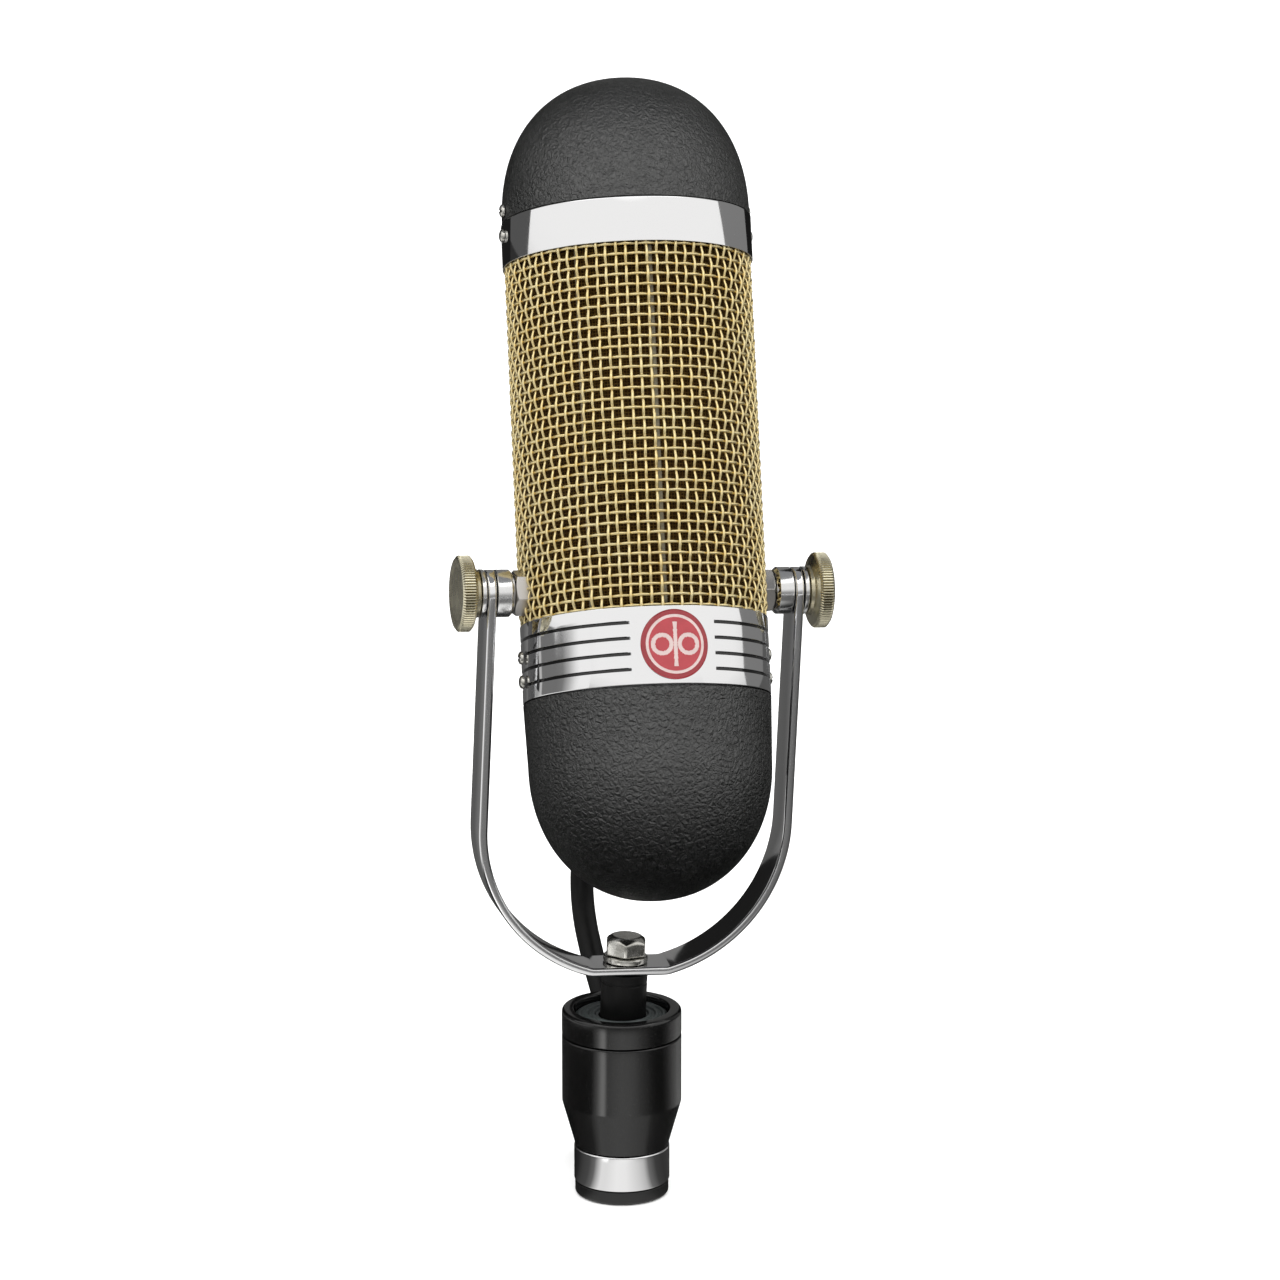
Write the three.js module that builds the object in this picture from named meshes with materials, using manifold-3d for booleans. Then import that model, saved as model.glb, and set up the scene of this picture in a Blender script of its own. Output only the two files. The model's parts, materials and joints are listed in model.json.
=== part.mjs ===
// Ribbon microphone on a swivelling stand adapter.
//
// Millimetres, +Z up, front towards -Y. The origin is the centre of the adapter's bottom face,
// where the microphone screws onto a stand. The fork and everything on it lean a little in the
// rubber isolator, and the head is tipped back about the two thumb screws.

import * as THREE from 'three';
import { mergeVertices } from 'three/addons/utils/BufferGeometryUtils.js';
import Module from 'manifold-3d';

const wasm = await Module();
wasm.setup();

// ---------------------------------------------------------------- driving dimensions

const gap = 0.3; // clearance left between touching pieces

// how the microphone stands
const forkLean = THREE.MathUtils.degToRad(2.65); // top of the fork towards +X
const headTilt = THREE.MathUtils.degToRad(22); // top of the head towards +Y
const leanHeight = 43.6; // the isolator flexes about this height
const pivotHeight = 167.6; // thumb screw axis above the bottom face

// stand coupling
const threadRadius = 7.94; // 5/8 inch stand thread
const socketDepth = 20;
const insertRadius = 9.2;
const insertHeight = 24;
const baseRingRadius = 12.7;
const baseRingHeight = 3.5;
const chromeRingRadius = 12.95;
const chromeRingTop = 13.6;
const studRadius = 3.5;
const retainingNutHeight = 3;

// stand adapter
const adapterRadius = 16.2;
const adapterTop = 52.2;
const adapterGroove = 45.1;
const coneTop = 26.2;
const coneBottomRadius = 12.7;
const recessRadius = 12.9;
const isolatorTop = 50.2;
const isolatorBottom = 41;
const adapterFloor = 27;
const adapterFloorThickness = 3;

// stem, fork and bolt
const stemRadius = 6.2;
const stemNeckRadius = 4;
const strapWidth = 12.6;
const strapThickness = 2.4;
const forkHalfWidth = 43; // to the outer faces of the arms
const forkBottom = 62.8;
const forkFlatHalf = 10.5; // half length of the flat under the bolt
const forkWasherRadius = 6;
const forkWasherHeight = 1.6;
const boltHex = 10.4; // across flats
const boltHeadHeight = 5.2;
const boltShankRadius = 3;

// thumb screws and their stacks
const screwRadius = 2.5;
const bossHex = 10.9;
const bossLength = 4.3;
const bushingRadius = 6.3;
const washerRadius = 6.4;
const washerThickness = 1.2;
const knobRadius = 10.1;
const knobNeck = 1.4; // length of the neck between washer and knurl
const knobWidth = 4.3;

// head, heights measured from the thumb screw axis along the head
const bandRadius = 33.5;
const lowerBandRadius = 32.9;
const bandBore = 31.9;
const topBandLow = 88.1;
const topBandHigh = 100;
const lowerBandLow = -28.9;
const lowerBandHigh = -8.4;
const domeRadius = 33.2;
const domeHeight = 38.2;
const domeFullness = 2.25; // 2 is half an ellipse, more is squarer in the shoulder
const lowerDomeRadius = 32.3;
const lowerDomeStart = -46;
const lowerDomeHeight = 36.3;
const lowerDomeFullness = 2.1;
const shellWall = 1.6;
const grilleRadius = 33.15;
const grilleWall = 0.75;
const screenRadius = 31.1;
const screenWall = 0.4;
const grooveCount = 4;
const grooveWidth = 0.7;
const grooveDepth = 0.5;
const badgeRadius = 9.2;
const badgeThickness = 0.8;
const panelHalfAngle = THREE.MathUtils.degToRad(20.1); // plain panel around the badge
const topScrewHeights = [96.1, 102.9];
const lowerScrewHeights = [-17.3, -23.7];
const trimScrewHead = 1.7;
const trimScrewShank = 0.8;
const clipScrewHead = 2.6;
const clipScrewShank = 1.4;

// chassis and ribbon motor
const frameRadius = 30.5;
const frameRim = 2.3;
const topFrameLow = 93;
const topFrameHigh = 105.4;
const bottomFrameLow = -33;
const bottomFrameHigh = -16;
const frameWeb = 2.5;
const railThickness = 3;
const railWidth = 10;
const ribbonLength = 60;
const ribbonWidth = 4.7;
const ribbonCentre = 43;
const ribbonPitch = 3;
const poleDepth = 7;
const poleWidth = 5.6;
const magnetWidth = 8;
const magnetDepth = 12;
const clampHeight = 5;
const transformerRadius = 13;
const transformerHeight = 18;
const boardSize = [40, 26, 1.6];
const capacitorRadius = 5;
const capacitorLength = 16;

// lead and connector
const leadRadius = 3.25;
const glandHeight = -46; // on the head's rear
const glandLength = 13;
const connectorX = 4;
const connectorY = 32;
const connectorTop = 24;
const connectorBottom = 0.5;
const connectorRadius = 9.2;
const connectorWall = 1;
const connectorBootLength = 11;
const clipLow = 14;
const clipHeight = 8;
const clipWall = 1.8;
const clipHalfWidth = 5;
const clipScrewHeight = 34;

// where the lead runs between the gland and the connector's boot
const leadRoute = [
  [2.4, 34.6, 102.4],
  [1.9, 39.5, 98.0],
  [1.5, 43.9, 92.8],
  [1.1, 47.6, 86.7],
  [0.8, 50.2, 80.1],
  [0.7, 51.6, 73.4],
  [0.8, 51.2, 67.0],
  [1.1, 49.0, 61.0],
  [1.6, 45.4, 55.6],
  [2.1, 41.0, 50.6],
  [2.7, 36.9, 46.2],
  [3.3, 33.7, 42.0],
];

// ---------------------------------------------------------------- solids from geometries

// Closes a geometry into a solid, whichever way its outline was drawn.
function solidOf(geometry) {
  geometry.deleteAttribute('normal');
  geometry.deleteAttribute('uv');
  const merged = mergeVertices(geometry, 1e-4);
  const points = merged.attributes.position.array;
  const triangles = [];
  let volume = 0;
  const corner = (i) => new THREE.Vector3().fromArray(points, 3 * i);
  for (let i = 0; i < merged.index.count; i += 3) {
    const [a, b, c] = merged.index.array.slice(i, i + 3);
    if (a === b || b === c || a === c) continue;
    triangles.push([a, b, c]);
    volume += corner(a).dot(corner(b).cross(corner(c)));
  }
  if (volume < 0) triangles.forEach((t) => t.reverse());
  return new wasm.Manifold(
    new wasm.Mesh({
      numProp: 3,
      vertProperties: new Float32Array(points),
      triVerts: new Uint32Array(triangles.flat()),
    }),
  );
}

function geometryOf(solid) {
  const mesh = solid.getMesh();
  const geometry = new THREE.BufferGeometry();
  geometry.setAttribute('position', new THREE.BufferAttribute(mesh.vertProperties, 3));
  geometry.setIndex(new THREE.BufferAttribute(mesh.triVerts, 1));
  geometry.computeVertexNormals();
  return geometry;
}

const cutAll = (solid, tools) => tools.reduce((rest, tool) => rest.subtract(tool), solid);

// Turned about Z from [radius, height] points.
function turned(profile, segments = 24) {
  const points = profile.map(([r, z]) => new THREE.Vector2(r, z));
  const closed = [...points];
  if (points[0].x > 0 || points.at(-1).x > 0) closed.push(points[0].clone());
  return solidOf(new THREE.LatheGeometry(closed, segments).rotateX(Math.PI / 2));
}

// Turned about X from [radius, x] points.
function turnedX(profile, segments = 24) {
  const points = profile.map(([r, x]) => new THREE.Vector2(r, x));
  const closed = [...points];
  if (points[0].x > 0 || points.at(-1).x > 0) closed.push(points[0].clone());
  return solidOf(new THREE.LatheGeometry(closed, segments).rotateZ(-Math.PI / 2));
}

const ring = (inner, outer, low, high, segments) =>
  turned([[inner, low], [outer, low], [outer, high], [inner, high]], segments);

const disc = (radius, low, high, segments) =>
  turned([[0, low], [radius, low], [radius, high], [0, high]], segments);

// Round bar along X, from x = from to x = to, at height z.
function barX(radius, from, to, z = 0, segments = 16) {
  const bar = new THREE.CylinderGeometry(radius, radius, to - from, segments);
  return solidOf(bar.rotateZ(Math.PI / 2).translate((from + to) / 2, 0, z));
}

// Round bar along Y.
function barY(radius, from, to, x = 0, z = 0, segments = 16) {
  const bar = new THREE.CylinderGeometry(radius, radius, to - from, segments);
  return solidOf(bar.translate(x, (from + to) / 2, z));
}

function block(xs, ys, zs) {
  const box = new THREE.BoxGeometry(xs[1] - xs[0], ys[1] - ys[0], zs[1] - zs[0]);
  return solidOf(box.translate((xs[0] + xs[1]) / 2, (ys[0] + ys[1]) / 2, (zs[0] + zs[1]) / 2));
}

// Hexagonal prism along Z, across = size across flats.
function hexBar(across, low, high, turn = 0) {
  const corner = across / Math.sqrt(3);
  const bar = new THREE.CylinderGeometry(corner, corner, high - low, 6);
  return solidOf(bar.rotateX(Math.PI / 2).rotateZ(turn).translate(0, 0, (low + high) / 2));
}

const shapeOf = (points) => new THREE.Shape(points.map(([x, y]) => new THREE.Vector2(x, y)));

// Points of an arc about a centre, from one angle to another.
function arc(cx, cy, radius, from, to, steps) {
  return Array.from({ length: steps + 1 }, (_, i) => {
    const angle = from + ((to - from) * i) / steps;
    return [cx + radius * Math.cos(angle), cy + radius * Math.sin(angle)];
  });
}

// ---------------------------------------------------------------- materials

const look = (color, roughness, metalness) =>
  new THREE.MeshStandardMaterial({ color, roughness, metalness });

const materials = {
  wrinklePaint: look(0x2a2c2c, 0.55, 0.1),
  glossBlack: look(0x161616, 0.12, 0.1),
  satinBlack: look(0x1b1b1b, 0.4, 0.1),
  chrome: look(0xd8dadc, 0.08, 1),
  nickel: look(0xb9b39c, 0.25, 1),
  brass: look(0xc9a65a, 0.35, 1),
  steel: look(0x8d8f92, 0.35, 1),
  aluminium: look(0xb5b8bb, 0.4, 1),
  magnet: look(0x55565a, 0.3, 0.9),
  rubber: look(0x3b3f3f, 0.8, 0),
  lead: look(0x1e1f1f, 0.6, 0),
  enamelRed: look(0xc94b50, 0.25, 0),
  board: look(0x1f5a3a, 0.5, 0),
  plastic: look(0x20242c, 0.5, 0),
};

const microphone = new THREE.Group();
const fork = new THREE.Group(); // leans in the isolator
const head = new THREE.Group(); // tips about the thumb screws
fork.position.z = leanHeight;
fork.rotation.y = forkLean;
head.position.z = pivotHeight - leanHeight;
head.rotation.x = -headTilt;
microphone.add(fork);
fork.add(head);

function add(group, name, solid, material) {
  const mesh = new THREE.Mesh(geometryOf(solid), material);
  mesh.name = name;
  group.add(mesh);
  return mesh;
}

// A piece of the fork, drawn with heights above the bottom face.
function addToFork(name, solid, material) {
  add(fork, name, solid, material).position.z = -leanHeight;
}

// ---------------------------------------------------------------- stand coupling

function addCoupling() {
  const bore = insertRadius + gap;
  add(microphone, 'base_ring', ring(bore, baseRingRadius, 0, baseRingHeight, 40), materials.satinBlack);
  const edge = 0.4;
  const chromeRing = turned(
    [
      [bore, baseRingHeight + gap],
      [chromeRingRadius - edge, baseRingHeight + gap],
      [chromeRingRadius, baseRingHeight + gap + edge],
      [chromeRingRadius, chromeRingTop - edge],
      [chromeRingRadius - edge, chromeRingTop],
      [bore, chromeRingTop],
    ],
    40,
  );
  add(microphone, 'chrome_ring', chromeRing, materials.chrome);
  const nutTop = adapterFloor + adapterFloorThickness + gap + retainingNutHeight;
  const insert = turned([
    [threadRadius, 0],
    [insertRadius, 0],
    [insertRadius, insertHeight],
    [studRadius, insertHeight],
    [studRadius, nutTop + 0.3],
    [0, nutTop + 0.3],
    [0, socketDepth],
    [threadRadius, socketDepth],
  ]);
  add(microphone, 'threaded_insert', insert, materials.brass);
  const nut = hexBar(studRadius * 3, nutTop - retainingNutHeight, nutTop);
  const nutBore = disc(studRadius + gap, nutTop - retainingNutHeight - 1, nutTop + 1, 24);
  add(microphone, 'retaining_nut', nut.subtract(nutBore), materials.steel);
}

// ---------------------------------------------------------------- adapter and isolator

const bushingWall = 1.1;
const adapterBore = insertRadius + gap + bushingWall + gap;
const adapterBottom = chromeRingTop + gap;
const collarSpigot = 4; // the collar screws this far into the body
const spigotRadius = adapterRadius - 2;

function addAdapter() {
  const edge = 0.5;
  const bodyTop = adapterGroove - gap / 2;
  const body = turned(
    [
      [adapterBore, adapterBottom],
      [coneBottomRadius, adapterBottom],
      [adapterRadius, coneTop],
      [adapterRadius, bodyTop - edge],
      [adapterRadius - edge, bodyTop],
      [spigotRadius + gap, bodyTop],
      [spigotRadius + gap, bodyTop - collarSpigot - 1],
      [recessRadius - 0.6, bodyTop - collarSpigot - 1],
      [recessRadius - 0.6, adapterFloor + adapterFloorThickness],
      [studRadius + 2 * gap, adapterFloor + adapterFloorThickness],
      [studRadius + 2 * gap, adapterFloor],
      [adapterBore, adapterFloor],
    ],
    40,
  );
  const tapped = barY(
    clipScrewShank + gap, recessRadius - 2, adapterRadius + 2, connectorX, clipScrewHeight, 12,
  );
  add(microphone, 'adapter_body', body.subtract(tapped), materials.glossBlack);
  const collar = turned(
    [
      [recessRadius, bodyTop + gap - collarSpigot],
      [spigotRadius, bodyTop + gap - collarSpigot],
      [spigotRadius, bodyTop + gap],
      [adapterRadius - edge, bodyTop + gap],
      [adapterRadius, bodyTop + gap + edge],
      [adapterRadius, adapterTop - 1],
      [adapterRadius - 0.3, adapterTop - 0.3],
      [adapterRadius - 1, adapterTop],
      [recessRadius + 0.4, adapterTop],
      [recessRadius, adapterTop - 0.4],
    ],
    40,
  );
  add(microphone, 'adapter_collar', collar, materials.glossBlack);
  const bushing = ring(
    insertRadius + gap, insertRadius + gap + bushingWall, adapterBottom, adapterFloor - gap,
  );
  add(microphone, 'swivel_bushing', bushing, materials.plastic);

  // rubber disc with rings moulded in its top, bored for the leaning stem
  const outer = recessRadius - gap;
  const ridges = [0, 1, 2].flatMap((i) => {
    const r = outer - 0.5 - i * 1.9;
    return [[r, isolatorTop], [r - 0.6, isolatorTop + 0.5], [r - 1.2, isolatorTop]];
  });
  const rubber = turned(
    [[0, isolatorBottom], [outer, isolatorBottom], [outer, isolatorTop], ...ridges, [0, isolatorTop]],
    32,
  );
  const hole = new THREE.CylinderGeometry(stemRadius + gap, stemRadius + gap, 30, 32)
    .rotateX(Math.PI / 2)
    .rotateY(forkLean)
    .translate(0, 0, leanHeight);
  add(microphone, 'isolator', rubber.subtract(solidOf(hole)), materials.rubber);
}

// ---------------------------------------------------------------- stem, fork and bolt

function addFork() {
  const washerTop = isolatorBottom - 0.8;
  const nutTop = washerTop - 2 - gap;
  const stemTop = forkBottom - gap;
  const shankHole = disc(boltShankRadius + gap, stemTop - 12, stemTop + 1, 16);
  const stem = turned([
    [0, nutTop - 3.2],
    [stemNeckRadius, nutTop - 3.2],
    [stemNeckRadius, washerTop + gap],
    [stemRadius, washerTop + gap],
    [stemRadius, stemTop],
    [0, stemTop],
  ]);
  addToFork('stem', stem.subtract(shankHole), materials.satinBlack);
  addToFork('isolator_washer', ring(stemNeckRadius + gap, 9, washerTop - 2, washerTop, 24), materials.steel);
  const nut = hexBar(stemNeckRadius * 3, nutTop - 3, nutTop);
  const nutBore = disc(stemNeckRadius + gap, nutTop - 4, nutTop + 1, 16);
  addToFork('stem_nut', nut.subtract(nutBore), materials.steel);

  // a flat strap bent to a half round, pressed flat under the bolt
  const bendHeight = forkBottom + Math.sqrt(forkHalfWidth ** 2 - forkFlatHalf ** 2);
  const flatAngle = Math.asin(forkFlatHalf / forkHalfWidth);
  const armTop = pivotHeight + strapWidth / 2;
  const bend = (radius, from, to) => arc(0, bendHeight, radius, from, to, 12);
  const inner = forkHalfWidth - strapThickness;
  const down = -Math.PI / 2;
  const outline = [
    [forkHalfWidth, armTop],
    ...bend(forkHalfWidth, 0, down + flatAngle),
    ...bend(forkHalfWidth, down - flatAngle, -Math.PI),
    [-forkHalfWidth, armTop],
    [-inner, armTop],
    ...bend(inner, -Math.PI, down - flatAngle),
    ...bend(inner, down + flatAngle, 0),
    [inner, armTop],
  ];
  const edge = 0.5;
  const strap = new THREE.ExtrudeGeometry(shapeOf(outline), {
    depth: strapWidth - 2 * edge,
    bevelEnabled: true,
    bevelThickness: edge,
    bevelSize: edge,
    bevelOffset: -edge,
    bevelSegments: 1,
  });
  strap.rotateX(Math.PI / 2).translate(0, strapWidth / 2 - edge, 0);
  // round arm ends: a side view with a half round top, swept across the fork
  const half = strapWidth / 2 + 0.01;
  const side = [[-half, 0], [half, 0], ...arc(0, pivotHeight, half, 0, Math.PI, 16)];
  const span = 2 * forkHalfWidth + 4;
  const envelope = new THREE.ExtrudeGeometry(shapeOf(side), { depth: span, bevelEnabled: false });
  envelope.rotateX(Math.PI / 2).rotateZ(Math.PI / 2).translate(-span / 2, 0, 0);
  const holes = [
    barX(screwRadius + 2 * gap, -span / 2, span / 2, pivotHeight),
    disc(boltShankRadius + gap, forkBottom - 1, forkBottom + strapThickness + 1, 16),
  ];
  addToFork('fork', cutAll(solidOf(strap).intersect(solidOf(envelope)), holes), materials.chrome);

  const strapTop = forkBottom + strapThickness;
  const washerLow = strapTop + gap;
  const boltLow = washerLow + forkWasherHeight + gap;
  const washer = ring(boltShankRadius + gap, forkWasherRadius, washerLow, washerLow + forkWasherHeight, 24);
  addToFork('bolt_washer', washer, materials.nickel);
  const headTop = boltLow + boltHeadHeight;
  const crown = turned([
    [0, boltLow - 1],
    [boltHex, boltLow - 1],
    [boltHex, headTop - 3.2],
    [boltHex / 2 - 0.6, headTop],
    [0, headTop],
  ]);
  const shank = disc(boltShankRadius, stemTop - 11, boltLow + 1, 16);
  const bolt = hexBar(boltHex, boltLow, headTop, 0.2).intersect(crown).add(shank);
  addToFork('fork_bolt', bolt, materials.nickel);
}

// ---------------------------------------------------------------- thumb screw stacks

const bossEnd = 35.3;
const bushingEnd = forkHalfWidth - strapThickness - gap;
const washerStart = forkHalfWidth + gap;
const knobStart = washerStart + washerThickness + gap;

function addStack(name, turn, hexTurn) {
  const side = new THREE.Group();
  side.rotation.z = turn;
  head.add(side);
  const bore = (from, to) => barX(screwRadius + gap, from, to, 0, 24);
  const boss = hexBar(bossHex, bossEnd - bossLength, bossEnd, hexTurn);
  const bossX = boss.rotate([0, 90, 0]);
  add(side, `${name}_boss`, bossX.subtract(bore(20, 40)), materials.nickel);
  const chamfer = 0.8;
  const bushing = turnedX([
    [screwRadius + gap, bossEnd + gap],
    [bushingRadius - chamfer, bossEnd + gap],
    [bushingRadius, bossEnd + gap + chamfer],
    [bushingRadius, bushingEnd],
    [screwRadius + gap, bushingEnd],
  ]);
  add(side, `${name}_bushing`, bushing, materials.chrome);
  const washerEnd = washerStart + washerThickness;
  const washer = turnedX([
    [screwRadius + gap, washerStart],
    [washerRadius, washerStart],
    [washerRadius, washerEnd],
    [screwRadius + gap, washerEnd],
  ]);
  add(side, `${name}_washer`, washer, materials.chrome);
  const knurlStart = knobStart + knobNeck;
  const knobEnd = knurlStart + knobWidth;
  const knob = turnedX(
    [
      [0, bossEnd - bossLength + 1.5],
      [screwRadius, bossEnd - bossLength + 1.5],
      [screwRadius, knobStart],
      [washerRadius, knobStart],
      [washerRadius + 0.3, knurlStart],
      [knobRadius, knurlStart + 1.3],
      [knobRadius, knobEnd - 0.6],
      [knobRadius - 0.8, knobEnd],
      [0, knobEnd + 0.3],
    ],
    40,
  );
  add(side, `${name}_knob`, knob, materials.nickel);
}

// ---------------------------------------------------------------- head shell

const lowerShellRadius = (z) => {
  // slight taper below the band, then a rounded-off dome
  if (z > lowerDomeStart) {
    const t = (lowerBandLow - z) / (lowerBandLow - lowerDomeStart);
    return lowerBandRadius + (lowerDomeRadius - lowerBandRadius) * t;
  }
  const drop = Math.min(1, (lowerDomeStart - z) / lowerDomeHeight);
  return lowerDomeRadius * (1 - drop ** lowerDomeFullness) ** (1 / lowerDomeFullness);
};

// Radial holes for the trim screws at both sides.
const trimHoles = (heights) =>
  heights.map((z) => barX(trimScrewShank + gap, -bandRadius - 2, bandRadius + 2, z, 12));

function addTopShell() {
  const base = topBandHigh + gap;
  const quarter = (r, h, steps) =>
    Array.from({ length: steps + 1 }, (_, i) => {
      const angle = (i / steps) * (Math.PI / 2);
      const [across, up] = [Math.cos(angle), Math.sin(angle)].map((t) => t ** (2 / domeFullness));
      return [i === steps ? 0 : r * across, base + h * up];
    });
  const outer = quarter(domeRadius, domeHeight, 10);
  const inner = quarter(domeRadius - shellWall, domeHeight - shellWall, 5).reverse();
  const dome = cutAll(turned([...outer, ...inner], 40), trimHoles(topScrewHeights));
  add(head, 'top_dome', dome, materials.wrinklePaint);
  const edge = 0.3;
  const band = turned(
    [
      [bandBore, topBandLow],
      [bandRadius - edge, topBandLow],
      [bandRadius, topBandLow + edge],
      [bandRadius, topBandHigh - edge],
      [bandRadius - edge, topBandHigh],
      [bandBore, topBandHigh],
    ],
    40,
  );
  add(head, 'top_band', cutAll(band, trimHoles(topScrewHeights)), materials.chrome);
}

function addLowerShell() {
  const quarter = (wall, steps) =>
    Array.from({ length: steps + 1 }, (_, i) => {
      const down = Math.sin((i / steps) * (Math.PI / 2));
      const r = lowerShellRadius(lowerDomeStart - lowerDomeHeight * down);
      return [i === steps ? 0 : r - wall, lowerDomeStart - (lowerDomeHeight - wall) * down];
    });
  const top = lowerBandLow - gap;
  const profile = [
    [lowerBandRadius, top],
    ...quarter(0, 10),
    ...quarter(shellWall, 5).reverse(),
    [lowerBandRadius - shellWall, top],
  ];
  const glandHole = barY(5.3, lowerDomeRadius - 6, lowerDomeRadius + 3, 0, glandHeight, 24);
  add(head, 'bottom_dome', turned(profile, 40).subtract(glandHole), materials.wrinklePaint);

  const edge = 0.3;
  const band = turned(
    [
      [bandBore - 0.3, lowerBandLow],
      [lowerBandRadius - edge, lowerBandLow],
      [lowerBandRadius, lowerBandLow + edge],
      [lowerBandRadius, lowerBandHigh - edge],
      [lowerBandRadius - edge, lowerBandHigh],
      [bandBore - 0.3, lowerBandHigh],
    ],
    40,
  );
  // grooves run round the band and stop at the plain front panel
  const front = -Math.PI / 2;
  const from = front + panelHalfAngle;
  const to = front - panelHalfAngle + 2 * Math.PI;
  const floor = lowerBandRadius - grooveDepth;
  const around = arc(0, 0, lowerBandRadius + 1, from, to, 32);
  const sector = shapeOf([...around, ...arc(0, 0, floor, to, from, 32)]);
  const pitch = (lowerBandHigh - lowerBandLow) / (grooveCount + 1);
  const grooves = Array.from({ length: grooveCount }, (_, i) => {
    const geometry = new THREE.ExtrudeGeometry(sector, { depth: grooveWidth, bevelEnabled: false });
    return solidOf(geometry.translate(0, 0, lowerBandLow + pitch * (i + 1) - grooveWidth / 2));
  });
  const cuts = [...grooves, ...trimHoles(lowerScrewHeights)];
  add(head, 'lower_band', cutAll(band, cuts), materials.chrome);

  // the badge is a round plate curved to sit on the band
  const centre = (lowerBandLow + lowerBandHigh) / 2;
  const inside = lowerBandRadius + gap;
  const plateLow = centre - badgeRadius - 1;
  const plateHigh = centre + badgeRadius + 1;
  const shell = ring(inside, inside + badgeThickness, plateLow, plateHigh, 64);
  const punch = barY(badgeRadius, -lowerBandRadius - 3, -10, 0, centre, 32);
  add(head, 'badge', shell.intersect(punch), materials.enamelRed);
}

function addGrille() {
  const low = lowerBandHigh + gap;
  const high = topBandLow - gap;
  const opening = barX(bossHex / Math.sqrt(3) + gap, -bandRadius - 2, bandRadius + 2, 0, 24);
  const grille = ring(grilleRadius - grilleWall, grilleRadius, low, high, 40);
  add(head, 'grille', grille.subtract(opening), materials.brass);
  const screen = ring(
    screenRadius - screenWall, screenRadius, bottomFrameHigh + gap, topFrameLow - gap, 32,
  );
  add(head, 'inner_screen', screen.subtract(opening), materials.steel);
}

// Pan head screws along X, radial to the bands.
function addTrimScrews() {
  const shellAt = (z) => {
    if (z > topBandHigh) return domeRadius;
    return z > 0 ? bandRadius : lowerBandRadius;
  };
  const rows = [['top', topScrewHeights], ['lower', lowerScrewHeights]];
  for (const [sideName, turn] of [['right', 0], ['left', Math.PI]]) {
    for (const [row, heights] of rows) {
      heights.forEach((z, i) => {
        const seat = shellAt(z) + gap;
        const screw = turnedX(
          [
            [0, seat - 4.2],
            [trimScrewShank, seat - 4.2],
            [trimScrewShank, seat],
            [trimScrewHead, seat],
            [trimScrewHead, seat + 0.5],
            [trimScrewHead * 0.6, seat + 1.1],
            [0, seat + 1.2],
          ],
          12,
        );
        const mesh = add(head, `${row}_screw_${sideName}_${i + 1}`, screw, materials.nickel);
        mesh.rotation.z = turn;
        mesh.position.z = z;
      });
    }
  }
}

// ---------------------------------------------------------------- chassis and ribbon motor

const railInner = frameRadius - frameRim - 0.8 - railThickness;
const railOuter = railInner + railThickness;
const motorPlateHalf = railInner - gap;

function addChassis() {
  const rim = frameRadius - frameRim;
  const topFrame = turned(
    [
      [0, topFrameLow], [frameRadius, topFrameLow], [frameRadius, topFrameHigh],
      [rim, topFrameHigh], [rim, topFrameLow + frameWeb], [0, topFrameLow + frameWeb],
    ],
    32,
  );
  add(head, 'top_frame', cutAll(topFrame, trimHoles(topScrewHeights)), materials.aluminium);
  const bottomFrame = turned(
    [
      [0, bottomFrameHigh], [frameRadius - 0.3, bottomFrameHigh], [frameRadius - 0.3, bottomFrameLow],
      [rim, bottomFrameLow], [rim, bottomFrameHigh - frameWeb], [0, bottomFrameHigh - frameWeb],
    ],
    32,
  );
  add(head, 'bottom_frame', cutAll(bottomFrame, trimHoles(lowerScrewHeights)), materials.aluminium);
  const railLow = bottomFrameHigh + gap;
  const railHigh = topFrameLow - gap;
  for (const [name, sign] of [['right', 1], ['left', -1]]) {
    const xs = [sign * railInner, sign * railOuter].sort((a, b) => a - b);
    const rail = block(xs, [-railWidth / 2, railWidth / 2], [railLow, railHigh]);
    const bossHole = barX(screwRadius + gap, Math.min(...xs) - 1, Math.max(...xs) + 1, 0, 16);
    add(head, `${name}_rail`, rail.subtract(bossHole), materials.aluminium);
  }
}

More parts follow.
